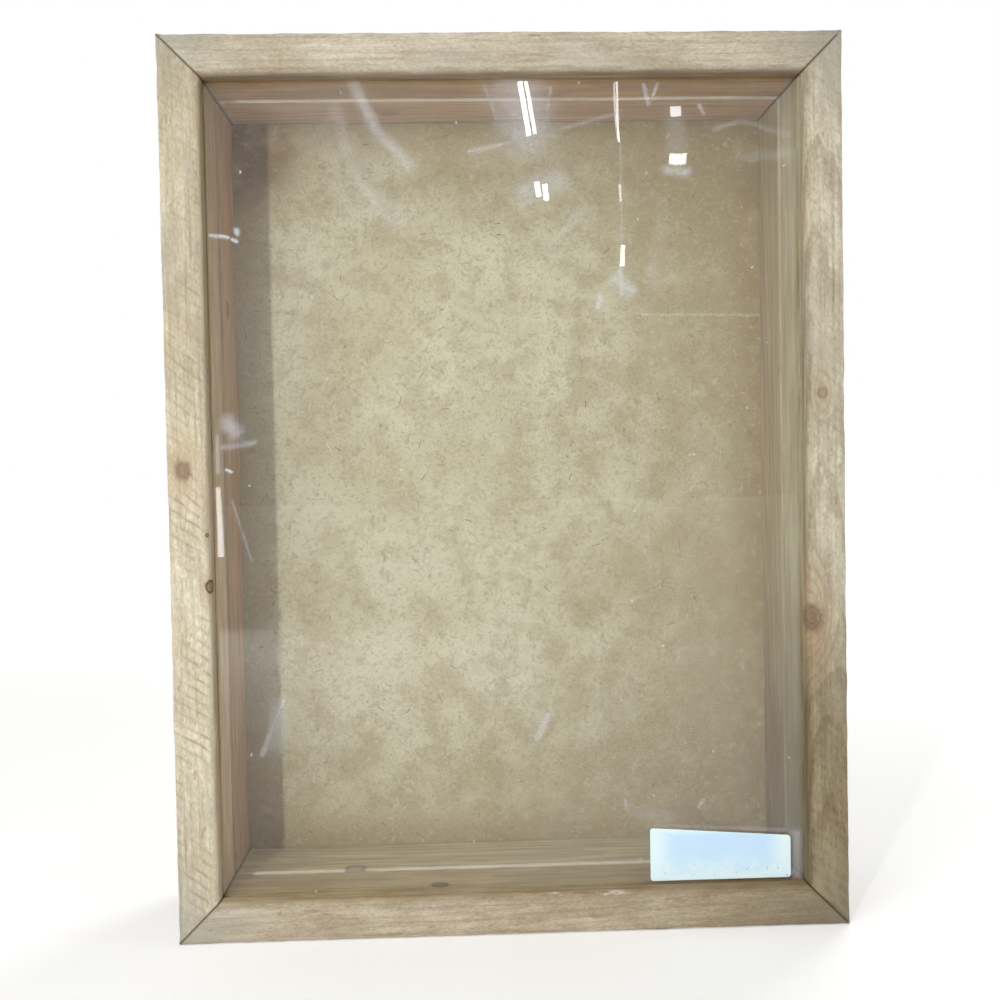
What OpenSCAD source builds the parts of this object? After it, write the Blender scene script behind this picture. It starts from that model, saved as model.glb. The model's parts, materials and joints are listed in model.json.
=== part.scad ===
// Wall or shelf display case: a mitred case frame with a fibreboard back nailed
// on, and a glazed door frame of the same outline hinged to its left side.
// Sizes are millimetres. The case stands on its lower edge and its front faces
// -Y. The origin is the middle of the underside of the case frame.

/* [Case] */
// Width over the outside of both frames
case_w = 304.8; // [240:0.1:420]
// Height over the outside of both frames
case_h = 405; // [300:1:560]
// Depth of the boards of the case frame
case_d = 38.1; // [30:0.1:60]
// Thickness of the boards of the case frame
case_board_t = 20; // [17:0.5:25]

/* [Door] */
// Depth of the boards of the door frame
door_d = 38.1; // [26:0.1:50]
// Thickness of the boards of the door frame
door_board_t = 19; // [16:0.5:24]
// Gap between the closed door and the case frame
parting_gap = 0.5; // [0.3:0.1:1.5]
// Open line left in every mitre
mitre_gap = 0.2; // [0:0.05:0.5]
// Rounding of the front inner edge of the door frame
sight_edge_r = 2.2; // [0.5:0.1:4]
// Rounding of every other edge of the boards
edge_r = 0.9; // [0.3:0.1:2]

/* [Glazing] */
// Thickness of the clear sheet
sheet_t = 3; // [2:0.1:4]
// Distance from the face of the door to the groove
groove_setback = 6.5; // [4:0.1:12]
// Depth of the groove in the inner edge of the boards
groove_depth = 6; // [4:0.1:8]
// Play of the sheet on each face in its groove
sheet_play = 0.1; // [0.05:0.05:0.3]
// Play between the edge of the sheet and the bottom of the groove
sheet_edge_play = 0.3; // [0.1:0.1:1]

/* [Back] */
// Thickness of the fibreboard back
back_t = 6.4; // [3:0.1:10]
// Distance the back is set in from the outside of the frame
back_inset = 0.6; // [0:0.1:3]
// Nails along each long side of the back
back_nails_long = 5; // [2:1:9]
// Nails along each short side of the back
back_nails_short = 4; // [2:2:8]
// Distance of the outer nails from the corners
back_nail_margin = 45; // [38:1:60]
// Radius of the shank of a back nail
back_nail_r = 0.8; // [0.6:0.1:1.2]
// Radius of the head of a back nail
back_nail_head_r = 2; // [1.4:0.1:3]
// Thickness of the head of a back nail
back_nail_head_t = 0.7; // [0.5:0.1:1.2]
// Length of a back nail under its head
back_nail_l = 22; // [14:1:28]

/* [Corner nails] */
// Length of a corner nail
corner_nail_l = 32; // [20:1:40]
// Radius of the shank of a corner nail
corner_nail_r = 0.7; // [0.5:0.1:1.2]
// Radius of the head of a corner nail
corner_nail_head_r = 1.2; // [0.9:0.1:1.8]
// Thickness of the head of a corner nail
corner_nail_head_t = 0.7; // [0.5:0.1:1.2]
// Depth of the head below the surface of the wood
corner_nail_sink = 0.3; // [0.1:0.1:1]
// Height of a corner nail above the end of the board
corner_nail_rise = 8; // [6:0.5:10]
// Distance between the two nails of one corner
corner_nail_spacing = 22; // [14:1:26]

/* [Label] */
// Width of the blank label
label_w = 65; // [30:1:90]
// Height of the label at its left end
label_h_left = 24.5; // [12:0.5:40]
// Height of the label at its right end
label_h_right = 19.5; // [12:0.5:40]
// Thickness of the label
label_t = 0.2; // [0.2:0.05:0.5]
// Distance of the label from the right inner edge of the door
label_right = 6.5; // [1:0.5:40]
// Distance of the label above the lower inner edge of the door
label_bottom = 1.5; // [0.5:0.5:40]

/* [Hinges] */
// Height of a hinge
hinge_h = 38; // [30:1:60]
// Distance of each hinge's middle from the end of the door
hinge_inset = 70; // [40:1:120]
// Width of a leaf from the hinge axis
leaf_w = 16; // [13:0.5:22]
// Thickness of a leaf
leaf_t = 1.2; // [1:0.1:1.6]
// Outer radius of the knuckles
knuckle_r = 2.6; // [2.4:0.1:3.5]
// Knuckles of one hinge, shared between its two leaves
knuckle_count = 5; // [3:2:7]
// Gap between neighbouring knuckles
knuckle_gap = 0.3; // [0.2:0.1:0.6]
// Distance from the knuckles to the side of the case
knuckle_standoff = 0.3; // [0.2:0.1:0.8]
// Radius of the hinge pin
pin_r = 1.2; // [1:0.1:1.3]
// Running clearance between the pin and the door's knuckles
pin_play = 0.05; // [0.02:0.01:0.1]
// Height of the pin's crown beyond the knuckles
pin_crown = 0.6; // [0.3:0.1:1]
// Distance of the leaf screws from the hinge axis
leaf_screw_out = 9.5; // [7:0.5:12]
// Distance between the two screws of a leaf
leaf_screw_spacing = 24; // [16:1:28]

/* [Screws] */
// Radius of a screw head
screw_head_r = 2.2; // [1.8:0.1:2.6]
// Radius of a screw shank
screw_r = 1.1; // [0.9:0.1:1.4]
// Length of a screw with its head
screw_l = 9.5; // [6:0.5:12]
// Width of the slot in a screw head
screw_slot_w = 0.6; // [0.4:0.1:0.8]
// Depth of the slot in a screw head
screw_slot_d = 0.5; // [0.3:0.1:0.8]
// Clearance of nails and screws in their holes
hole_play = 0.05; // [0.02:0.01:0.1]

/* [Latch] */
// Distance from the pivot of the hook to the stud it closes on
hook_reach = 33; // [28:0.5:40]
// Thickness of the hook
hook_t = 1.2; // [0.8:0.1:1.6]
// Width of the arm of the hook
hook_arm_w = 4.4; // [3:0.1:6]
// Radius of the eye of the hook
hook_eye_r = 4.4; // [3.5:0.1:6]
// Radius of the head of the hook, which holds the notch
hook_head_r = 5.6; // [4.5:0.1:7]
// Gap between the notch and the stud
notch_play = 0.35; // [0.2:0.05:0.6]
// Length of the finger tab at the end of the hook
hook_tab_l = 7.5; // [5:0.5:10]
// Width of the finger tab
hook_tab_w = 4; // [3:0.5:5]
// Radius of the rivet and of the stud
stud_r = 1.5; // [1.2:0.1:1.8]
// Radius of the head of the rivet
rivet_head_r = 2.9; // [2.4:0.1:3.5]
// Radius of the head of the stud
stud_head_r = 2.3; // [2.1:0.1:3]
// Thickness of the heads of the rivet and the stud
stud_head_t = 0.9; // [0.6:0.1:1.2]
// Running clearance between the rivet and the eye
eye_play = 0.08; // [0.05:0.01:0.1]
// Gap on each face of the hook
hook_face_gap = 0.3; // [0.2:0.05:0.5]
// Thickness of the latch plates
plate_t = 1; // [0.8:0.1:1.4]
// Width of the latch plates
plate_w = 11; // [9:0.5:14]
// Height of the latch plates
plate_h = 27; // [23:0.5:34]
// Rounding of the corners of the latch plates
plate_corner_r = 2; // [1:0.5:4]
// Distance between the two screws of a latch plate
plate_screw_spacing = 18; // [16:0.5:24]
// Distance of the stud from the front of the case frame
stud_setback = 13; // [8:0.5:16]
// Length of the rivet inside the wood
rivet_root = 5; // [3:0.5:8]

/* [Hanger] */
// Length of the toothed strip
hanger_l = 45; // [38:1:60]
// Height of the toothed strip
hanger_h = 8; // [6:0.5:10]
// Thickness of the strip
hanger_t = 0.8; // [0.6:0.1:1.2]
// Height of the raised middle off the back
hanger_rise = 2.2; // [1.5:0.1:4]
// Length of each flat end of the strip
hanger_foot = 9; // [7:0.5:10]
// Run of each slope between a foot and the raised middle
hanger_slope = 3; // [2:0.5:4]
// Distance from one tooth to the next
tooth_pitch = 2.4; // [2:0.1:4]
// Depth of the teeth
tooth_depth = 1.6; // [1:0.1:2.5]
// Distance of the strip's middle below the top of the case
hanger_drop = 10; // [9.5:0.5:16]

/* [Hidden] */
$fn = 48;

// Anything longer than the case, for cuts that run right through
through = 2 * (case_w + case_h);
// Small overshoot of a cut past the face that it opens
over = 1;

// Planes from the front to the back
case_front_y = -case_d / 2;
case_back_y = case_d / 2;
door_back_y = case_front_y - parting_gap;
door_front_y = door_back_y - door_d;
door_mid_y = door_back_y - door_d / 2;
back_face_y = case_back_y + back_t;

// The groove and the sheet that stands in it
groove_y = door_front_y + groove_setback;
groove_w = sheet_t + 2 * sheet_play;
sheet_y = groove_y + sheet_play;
sheet_reach = door_board_t - groove_depth + sheet_edge_play;
sheet_w = case_w - 2 * sheet_reach;
sheet_h = case_h - 2 * sheet_reach;

// The hinge axis stands outside the left side, in the middle of the parting gap
hinge_x = -case_w / 2 - knuckle_standoff - knuckle_r;
hinge_y = case_front_y - parting_gap / 2;
knuckle_pitch = hinge_h / knuckle_count;
knuckle_h = knuckle_pitch - knuckle_gap;
hinge_low_z = hinge_inset;
hinge_high_z = case_h - hinge_inset;

// The hook turns on a rivet in the door and closes on a stud in the case
latch_z = case_h / 2;
stud_y = case_front_y + stud_setback;
rivet_y = stud_y - hook_reach;
hook_x = case_w / 2 + plate_t + hook_face_gap;
head_x = hook_x + hook_t + hook_face_gap;
notch_r = stud_r + notch_play;

// The toothed strip stands on the back, nailed into the top rail
hanger_z = case_h - hanger_drop;
hanger_nail_x = hanger_l / 2 - hanger_foot / 2;

// Sides of a frame: 0 bottom, 1 left, 2 top, 3 right
function side_x(side) = [0, -1, 0, 1][side] * case_w / 2;
function side_z(side) = [0, 1, 2, 1][side] * case_h / 2;
function side_l(side) = side % 2 == 0 ? case_w : case_h;

// Brings a board made along the bottom to one side of the frame
module at_side(side) {
    translate([side_x(side), 0, side_z(side)]) rotate([0, 90 * side, 0]) children();
}

// What rounding takes off a corner whose material lies towards +X and +Y
module corner_waste(r) {
    difference() {
        translate([-over, -over]) square(r + over);
        translate([r, r]) circle(r);
    }
}

// Section of a board: X runs from the outer edge inwards and Y from the front
// to the back. The radii are front outer, front inner, back inner, back outer.
module board_section(thick, depth, radii) {
    corners = [[0, 0], [thick, 0], [thick, depth], [0, depth]];
    difference() {
        square([thick, depth]);
        for (i = [0:3]) translate(corners[i]) rotate(90 * i) corner_waste(radii[i]);
    }
}

// Board along the bottom, cut at both ends to half of a mitre
module mitred_board(length, thick, depth, radii) {
    half = length / 2 - mitre_gap / sqrt(2);
    intersection() {
        rotate([0, -90, 0]) linear_extrude(through, center = true) board_section(thick, depth, radii);
        rotate([90, 0, 0]) linear_extrude(through, center = true)
            polygon([[-half, 0], [half, 0], [half - thick, thick], [thick - half, thick]]);
    }
}

// Groove for the sheet, along the inner edge of a door board
module sheet_groove() {
    translate([-through / 2, groove_y, door_board_t - groove_depth])
        cube([through, groove_w, groove_depth + over]);
}

// Nail along +X from its head. A play above 0 makes the hole that it fills.
module corner_nail(play = 0) {
    open = play > 0 ? corner_nail_sink + over : 0;
    translate([-open, 0, 0]) rotate([0, 90, 0])
        cylinder(r = corner_nail_head_r + play, h = corner_nail_head_t + open + play);
    rotate([0, 90, 0]) cylinder(r = corner_nail_r + play, h = corner_nail_l + play);
}

// Two nails through each end of both stiles, in a frame with its middle at mid_y
module corner_nail_set(mid_y, play = 0) {
    for (flip = [0, 1], z = [corner_nail_rise, case_h - corner_nail_rise], step = [-0.5, 0.5])
        mirror([flip, 0, 0])
            translate([corner_nail_sink - case_w / 2, mid_y + step * corner_nail_spacing, z])
                corner_nail(play);
}

module case_board(side) {
    difference() {
        at_side(side) translate([0, case_front_y, 0])
            mitred_board(side_l(side), case_board_t, case_d, [edge_r, edge_r, edge_r, edge_r]);
        corner_nail_set(0, hole_play);
        back_nail_set(hole_play);
        hanger_nail_set(hole_play);
        leaf_screw_set(1, hole_play);
        plate_screw_set(stud_y, hole_play);
        stud_pin(stud_y, hole_play);
    }
}

module door_board(side) {
    difference() {
        at_side(side) difference() {
            translate([0, door_front_y, 0])
                mitred_board(side_l(side), door_board_t, door_d, [edge_r, sight_edge_r, edge_r, edge_r]);
            sheet_groove();
        }
        corner_nail_set(door_mid_y, hole_play);
        leaf_screw_set(-1, hole_play);
        plate_screw_set(rivet_y, hole_play);
        stud_pin(rivet_y, hole_play);
    }
}

module case_rail_bottom() { color("burlywood") case_board(0); }
module case_stile_left() { color("burlywood") case_board(1); }
module case_rail_top() { color("burlywood") case_board(2); }
module case_stile_right() { color("burlywood") case_board(3); }

module door_rail_bottom() { color("tan") door_board(0); }
module door_stile_left() { color("tan") door_board(1); }
module door_rail_top() { color("tan") door_board(2); }
module door_stile_right() { color("tan") door_board(3); }

module case_corner_nails() { color("dimgray") corner_nail_set(0); }
module door_corner_nails() { color("dimgray") corner_nail_set(door_mid_y); }

module glazing_panel() {
    color([0.85, 0.9, 0.9, 0.3])
        translate([-sheet_w / 2, sheet_y, sheet_reach]) cube([sheet_w, sheet_t, sheet_h]);
}

// The label is cut a little out of square: its left end is the taller one
module label_sticker() {
    right = case_w / 2 - door_board_t - label_right;
    low = door_board_t + label_bottom;
    color("white") translate([0, sheet_y, 0]) rotate([90, 0, 0]) linear_extrude(label_t)
        polygon([
            [right - label_w, low],
            [right, low],
            [right, low + label_h_right],
            [right - label_w, low + label_h_left]
        ]);
}

// Nail along -Y with the underside of its head at the origin
module back_nail(length, play = 0) {
    rotate([90, 0, 0]) cylinder(r = back_nail_r + play, h = length + play);
    if (play == 0) rotate([-90, 0, 0]) cylinder(r = back_nail_head_r, h = back_nail_head_t);
}

// Nails round the back, each in the middle of the board behind it
module back_nail_set(play = 0) {
    out_x = case_w / 2 - case_board_t / 2;
    step_x = (case_w - 2 * back_nail_margin) / (back_nails_short - 1);
    step_z = (case_h - 2 * back_nail_margin) / (back_nails_long - 1);
    for (x = [-out_x, out_x], i = [0:back_nails_long - 1])
        translate([x, back_face_y, back_nail_margin + i * step_z]) back_nail(back_nail_l, play);
    for (z = [case_board_t / 2, case_h - case_board_t / 2], i = [0:back_nails_short - 1])
        translate([back_nail_margin - case_w / 2 + i * step_x, back_face_y, z])
            back_nail(back_nail_l, play);
}

module back_panel() {
    color("peru") difference() {
        translate([back_inset - case_w / 2, case_back_y, back_inset])
            cube([case_w - 2 * back_inset, back_t, case_h - 2 * back_inset]);
        back_nail_set(hole_play);
        hanger_nail_set(hole_play);
    }
}

module back_panel_nails() { color("silver") back_nail_set(); }

// Countersunk slotted screw along +X with the top of its head at the origin.
// A play above 0 makes the hole that it fills.
module screw(play = 0) {
    difference() {
        rotate([0, 90, 0]) union() {
            cylinder(r1 = screw_head_r + play, r2 = screw_r + play, h = leaf_t);
            cylinder(r = screw_r + play, h = screw_l + play);
        }
        if (play == 0) translate([-over, -screw_slot_w / 2, -screw_head_r - over])
            cube([screw_slot_d + over, screw_slot_w, 2 * (screw_head_r + over)]);
    }
}

// Screws of the leaves on one side of the hinge axis: -1 door, 1 case
module leaf_screw_set(toward, play = 0) {
    for (z = [hinge_low_z, hinge_high_z], step = [-0.5, 0.5])
        translate([
            -case_w / 2 - leaf_t,
            hinge_y + toward * leaf_screw_out,
            z + step * leaf_screw_spacing
        ]) screw(play);
}

// Screws of one latch plate, which stands on the right side at plate_y
module plate_screw_set(plate_y, play = 0) {
    for (step = [-0.5, 0.5])
        translate([case_w / 2 + plate_t, plate_y, latch_z + step * plate_screw_spacing])
            mirror([1, 0, 0]) screw(play);
}

module hinge_screws_case() { color("goldenrod") leaf_screw_set(1); }
module hinge_screws_door() { color("goldenrod") leaf_screw_set(-1); }
module latch_plate_screws() { color("goldenrod") plate_screw_set(rivet_y); }
module latch_stud_screws() { color("goldenrod") plate_screw_set(stud_y); }

// Height of the bottom of a knuckle above the bottom of the hinge
function knuckle_low(i) = i * knuckle_pitch + knuckle_gap / 2;

// Leaf of one hinge. The case leaf, toward 1, holds the even knuckles and the
// door leaf, toward -1, the odd ones. Each is cut back clear of the other's.
module hinge_leaf(mid_z, toward) {
    first = toward > 0 ? 0 : 1;
    bore_r = pin_r + (toward > 0 ? pin_play / 5 : pin_play);
    translate([hinge_x, hinge_y, mid_z - hinge_h / 2]) difference() {
        union() {
            translate([knuckle_r + knuckle_standoff - leaf_t, toward > 0 ? 0 : -leaf_w, knuckle_gap / 2])
                cube([leaf_t, leaf_w, hinge_h - knuckle_gap]);
            for (i = [first:2:knuckle_count - 1])
                translate([0, 0, knuckle_low(i)]) cylinder(r = knuckle_r, h = knuckle_h);
        }
        for (i = [1 - first:2:knuckle_count - 1])
            translate([0, 0, knuckle_low(i) - knuckle_gap])
                cylinder(r = knuckle_r + 2 * knuckle_gap, h = knuckle_h + 2 * knuckle_gap);
        translate([0, 0, -over]) cylinder(r = bore_r, h = hinge_h + 2 * over);
        for (step = [-0.5, 0.5])
            translate([
                knuckle_r + knuckle_standoff - leaf_t,
                toward * leaf_screw_out,
                hinge_h / 2 + step * leaf_screw_spacing
            ]) screw(hole_play);
    }
}

module hinge_leaf_case_upper() { color("gold") hinge_leaf(hinge_high_z, 1); }
module hinge_leaf_case_lower() { color("gold") hinge_leaf(hinge_low_z, 1); }
module hinge_leaf_door_upper() { color("gold") hinge_leaf(hinge_high_z, -1); }
module hinge_leaf_door_lower() { color("gold") hinge_leaf(hinge_low_z, -1); }

// Pin of one hinge, with a low crown beyond the end knuckles
module hinge_pin(mid_z) {
    translate([hinge_x, hinge_y, mid_z])
        cylinder(r = pin_r, h = hinge_h - knuckle_gap + 2 * pin_crown, center = true);
}

module hinge_pin_upper() { color("darkgoldenrod") hinge_pin(hinge_high_z); }
module hinge_pin_lower() { color("darkgoldenrod") hinge_pin(hinge_low_z); }

// Plate with rounded corners on the right side, drilled for its screws and,
// where a rivet goes through it, for the rivet
module plate(plate_y, drilled) {
    difference() {
        translate([case_w / 2, plate_y, latch_z]) rotate([90, 0, 90]) linear_extrude(plate_t)
            difference() {
                square([plate_w, plate_h], center = true);
                for (i = [0:3]) {
                    flip_y = i == 1 || i == 2;
                    flip_z = i > 1;
                    translate([(flip_y ? 1 : -1) * plate_w / 2, (flip_z ? 1 : -1) * plate_h / 2])
                        rotate(90 * i) corner_waste(plate_corner_r);
                }
            }
        plate_screw_set(plate_y, hole_play);
        if (drilled) stud_pin(plate_y, hole_play);
    }
}

// Shank of the rivet or the stud, from inside the wood to under its head
module stud_pin(pin_y, play = 0) {
    translate([case_w / 2 - rivet_root - play, pin_y, latch_z]) rotate([0, 90, 0])
        cylinder(r = stud_r + play, h = head_x - case_w / 2 + rivet_root + play);
}

module stud_head(pin_y, head_r) {
    translate([head_x, pin_y, latch_z]) rotate([0, 90, 0])
        cylinder(r1 = head_r, r2 = head_r - stud_head_t / 2, h = stud_head_t);
}

module latch_plate() { color("gold") plate(rivet_y, true); }

module latch_rivet() {
    color("darkgoldenrod") {
        stud_pin(rivet_y);
        stud_head(rivet_y, rivet_head_r);
    }
}

// The stud is riveted into its own plate, so the two are one piece
module latch_stud() {
    color("gold") union() {
        plate(stud_y, false);
        stud_pin(stud_y);
        stud_head(stud_y, stud_head_r);
    }
}

// Outline of the hook as it lies when closed: the arm runs along +X from the
// rivet to the stud, and the notch opens downwards along the swing of the hook
module hook_outline() {
    difference() {
        union() {
            circle(hook_eye_r);
            translate([0, -hook_arm_w / 2]) square([hook_reach, hook_arm_w]);
            translate([hook_reach, 0]) circle(hook_head_r);
            translate([hook_reach, 0]) rotate(40) {
                translate([0, -hook_tab_w / 2]) square([hook_tab_l, hook_tab_w]);
                translate([hook_tab_l, 0]) circle(hook_tab_w / 2);
            }
        }
        circle(stud_r + eye_play);
        translate([hook_reach, 0]) circle(notch_r);
        intersection() {
            translate([0, -hook_reach]) square([2 * hook_reach, hook_reach]);
            difference() {
                circle(hook_reach + notch_r);
                circle(hook_reach - notch_r);
            }
        }
    }
}

// The hook hangs straight down from its rivet when it is not closed
module latch_hook() {
    color("gold") translate([hook_x, rivet_y, latch_z]) rotate([-90, 0, 0]) rotate([90, 0, 90])
        linear_extrude(hook_t) hook_outline();
}

// Nails of the toothed strip
module hanger_nail_set(play = 0) {
    for (x = [-hanger_nail_x, hanger_nail_x])
        translate([x, back_face_y + hanger_t, hanger_z]) back_nail(back_nail_l, play);
}

module hanger_nails() { color("silver") hanger_nail_set(); }

// Strip with flat feet and a raised middle, whose lower edge is cut into teeth
module sawtooth_hanger() {
    foot = hanger_l / 2 - hanger_foot;
    top = foot - hanger_slope;
    teeth = floor(2 * top / tooth_pitch);
    color("silver") difference() {
        translate([0, back_face_y, hanger_z - hanger_h / 2]) linear_extrude(hanger_h)
            polygon([
                [-hanger_l / 2, 0],
                [-foot, 0],
                [-top, hanger_rise],
                [top, hanger_rise],
                [foot, 0],
                [hanger_l / 2, 0],
                [hanger_l / 2, hanger_t],
                [foot + hanger_t / 2, hanger_t],
                [top + hanger_t / 2, hanger_rise + hanger_t],
                [-top - hanger_t / 2, hanger_rise + hanger_t],
                [-foot - hanger_t / 2, hanger_t],
                [-hanger_l / 2, hanger_t]
            ]);
        for (i = [0:teeth - 1])
            translate([(i - (teeth - 1) / 2) * tooth_pitch, back_face_y, hanger_z - hanger_h / 2])
                rotate([90, 0, 0]) linear_extrude(4 * (hanger_rise + hanger_t), center = true)
                    polygon([[-tooth_pitch / 2, -over / 10], [tooth_pitch / 2, -over / 10], [0, tooth_depth]]);
        hanger_nail_set(hole_play);
    }
}

case_rail_bottom();
case_rail_top();
case_stile_left();
case_stile_right();
back_panel();
back_panel_nails();
case_corner_nails();
hinge_leaf_case_upper();
hinge_leaf_case_lower();
hinge_pin_upper();
hinge_pin_lower();
hinge_screws_case();
latch_stud();
latch_stud_screws();
sawtooth_hanger();
hanger_nails();
door_rail_bottom();
door_rail_top();
door_stile_left();
door_stile_right();
glazing_panel();
label_sticker();
door_corner_nails();
hinge_leaf_door_upper();
hinge_leaf_door_lower();
hinge_screws_door();
latch_plate();
latch_plate_screws();
latch_rivet();
latch_hook();
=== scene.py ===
import json
import math
from collections import namedtuple

import bmesh
import bpy
from mathutils import Euler, Matrix, Vector

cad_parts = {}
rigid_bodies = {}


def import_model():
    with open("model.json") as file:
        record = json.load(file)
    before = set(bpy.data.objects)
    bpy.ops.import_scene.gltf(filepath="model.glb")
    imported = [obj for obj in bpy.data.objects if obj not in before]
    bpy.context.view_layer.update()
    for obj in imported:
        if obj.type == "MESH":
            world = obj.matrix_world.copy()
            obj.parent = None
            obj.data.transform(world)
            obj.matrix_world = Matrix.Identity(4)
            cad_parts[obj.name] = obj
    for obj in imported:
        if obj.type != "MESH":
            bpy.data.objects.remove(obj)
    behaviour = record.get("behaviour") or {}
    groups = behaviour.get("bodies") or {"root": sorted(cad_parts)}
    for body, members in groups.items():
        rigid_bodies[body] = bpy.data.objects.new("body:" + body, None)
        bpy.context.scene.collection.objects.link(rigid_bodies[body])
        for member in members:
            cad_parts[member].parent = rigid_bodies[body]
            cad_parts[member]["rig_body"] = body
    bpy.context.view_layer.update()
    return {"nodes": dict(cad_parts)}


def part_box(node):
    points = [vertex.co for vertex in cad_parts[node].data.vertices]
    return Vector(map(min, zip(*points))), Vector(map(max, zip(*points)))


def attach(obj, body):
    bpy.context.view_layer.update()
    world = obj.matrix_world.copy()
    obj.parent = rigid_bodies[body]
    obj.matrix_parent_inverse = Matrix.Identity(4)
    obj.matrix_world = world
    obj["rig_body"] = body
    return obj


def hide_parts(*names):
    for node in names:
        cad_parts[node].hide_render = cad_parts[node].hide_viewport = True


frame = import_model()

bl_info = {
    "name": "Display case finish",
    "version": (1, 0, 0),
    "blender": (4, 5, 0),
    "location": "View3D > Sidebar > Display case",
    "description": "Makes the visible boards, back, clear sheet and fittings of a glazed display case",
    "category": "Object",
}

MM = 0.001

# Points nearer to each other than this are one point
MERGE = 0.001 * MM

# Side of the square picture in pixels, and width of the camera's sensor in millimetres
PICTURE = 1000
SENSOR = 36

# Boards of one frame, in the order of their quarter turns about the depth axis
BOARDS = ("rail_bottom", "stile_left", "rail_top", "stile_right")

Outline = namedtuple("Outline", "width height front back thick")
Knot = namedtuple("Knot", "board spot radius dark rim")
Finish = namedtuple(
    "Finish", "light mid dark inside rings saw band rust shade_from shade_to shade pith gap wander")
StripLamp = namedtuple("StripLamp", "name column row width height tilt glow")
Stroke = namedtuple("Stroke", "start end width strength")
SoftLamp = namedtuple("SoftLamp", "name place width height power")


def read_outline(prefix):
    """Outer size, front, back and board thickness of one of the two frames."""
    low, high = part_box(prefix + "_rail_bottom")
    width = 2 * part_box(prefix + "_stile_right")[1].x
    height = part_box(prefix + "_rail_top")[1].z
    return Outline(width, height, low.y, high.y, high.z)


CASE = read_outline("case")
DOOR = read_outline("door")
SHEET_LOW, SHEET_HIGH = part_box("glazing_panel")
BACK_LOW, BACK_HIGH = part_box("back_panel")
LABEL_LOW, LABEL_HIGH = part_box("label_sticker")

# Rays that see the white floor and surroundings as they are
SEEN_RAYS = ("Is Camera Ray", "Is Transmission Ray", "Is Glossy Ray")

# Knots of the door and case boards: place across, depth behind the face of the
# door and height, in millimetres, then the radius, how dark and how sharply rimmed
KNOTS = (
    Knot("door_stile_left", (-145, 0, 213), 3.6, 0.75, 0.3),
    Knot("door_stile_left", (-134, 1, 161), 2.3, 0.8, 1.0),
    Knot("door_stile_left", (-135, 0, 184), 0.8, 1.0, 1.0),
    Knot("door_stile_right", (142, 0, 243), 2.8, 0.6, 0.0),
    Knot("door_stile_right", (136, 0, 141), 5.6, 1.0, 0.25),
    Knot("door_rail_bottom", (-35, 16, 19), 3.0, 1.0, 0.9),
    Knot("case_rail_bottom", (-76, 40, 20), 4.0, 0.55, 0.5),
    Knot("case_rail_top", (-53, 58, 385), 4.2, 0.45, 0.1),
    Knot("case_stile_left", (-132, 52, 290), 3.4, 0.6, 0.3),
)

# Tones are light, mid and dark wood and the tint of the inner face, which is partly the
# wood's own pinker colour and partly painted shade; then how strongly rings, saw marks, the dark
# band beside the sheet (mostly painted shade, partly dirt) and brown patches show; then where
# along the board a painted shade starts and is full and how deep it is; then the pith, the ring gap and
# how far the rings wander
FINISHES = {
    "door_stile_left": Finish(
        (0.80, 0.755, 0.605), (0.65, 0.585, 0.44), (0.34, 0.25, 0.16), (0.95, 0.77, 0.64),
        0.18, 1.0, 0.15, 0.5, 0.10, -0.20, 0.45, (0, -0.030, 0.050), 0.0031, 0.022),
    "door_rail_top": Finish(
        (0.65, 0.605, 0.485), (0.49, 0.43, 0.325), (0.30, 0.235, 0.17), (0.86, 0.59, 0.38),
        0.12, 0.15, 0.55, 0.15, -0.02, -0.16, 0.22, (0, -0.055, 0.020), 0.0026, 0.014),
    "door_stile_right": Finish(
        (0.72, 0.68, 0.535), (0.53, 0.475, 0.355), (0.31, 0.25, 0.175), (0.88, 0.88, 0.78),
        0.5, 0.5, 0.75, 0.2, -0.02, -0.13, 1.0, (0, -0.140, 0.010), 0.0016, 0.005),
    "door_rail_bottom": Finish(
        (0.67, 0.595, 0.46), (0.49, 0.41, 0.295), (0.29, 0.215, 0.14), (0.86, 0.78, 0.61),
        0.2, 0.1, 0.45, 0.35, 0.0, 0.13, 0.8, (0, -0.090, 0.030), 0.0020, 0.008),
    "case_stile_left": Finish(
        (0.61, 0.48, 0.36), (0.51, 0.385, 0.27), (0.25, 0.16, 0.10), (0.99, 0.80, 0.59),
        0.3, 0.0, 0.0, 0.2, 0.5, 0.7, 0.0, (0, 0.030, 0.095), 0.0029, 0.012),
    "case_rail_top": Finish(
        (0.64, 0.49, 0.37), (0.55, 0.40, 0.29), (0.27, 0.18, 0.12), (1.0, 0.92, 0.80),
        0.22, 0.0, 0.0, 0.2, 0.5, 0.7, 0.0, (0, 0.040, 0.090), 0.0026, 0.012),
    "case_stile_right": Finish(
        (0.60, 0.535, 0.41), (0.50, 0.43, 0.32), (0.26, 0.18, 0.12), (0.85, 0.80, 0.65),
        0.3, 0.0, 0.0, 0.2, -0.02, -0.15, 0.95, (0, 0.025, 0.080), 0.0024, 0.010),
    "case_rail_bottom": Finish(
        (0.65, 0.575, 0.44), (0.53, 0.445, 0.32), (0.30, 0.225, 0.15), (1.0, 1.0, 0.88),
        0.35, 0.0, 0.0, 0.2, 0.02, 0.15, 0.4, (0, -0.004, 0.032), 0.0034, 0.024),
}

# Tint of a door board's inner face in front of the sheet, which is painted shade, darkest under the top
# rail
PAINTED_SIGHT_SHADES = {
    "door_stile_left": (0.79, 0.75, 0.74),
    "door_rail_top": (0.62, 0.54, 0.52),
    "door_stile_right": (0.80, 0.78, 0.76),
    "door_rail_bottom": (0.84, 0.78, 0.68),
}

# The board whose inner arris is torn, and the middle of the torn stretch
TORN_BOARD = "door_rail_bottom"
TORN_MIDDLE = 27 * MM

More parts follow.
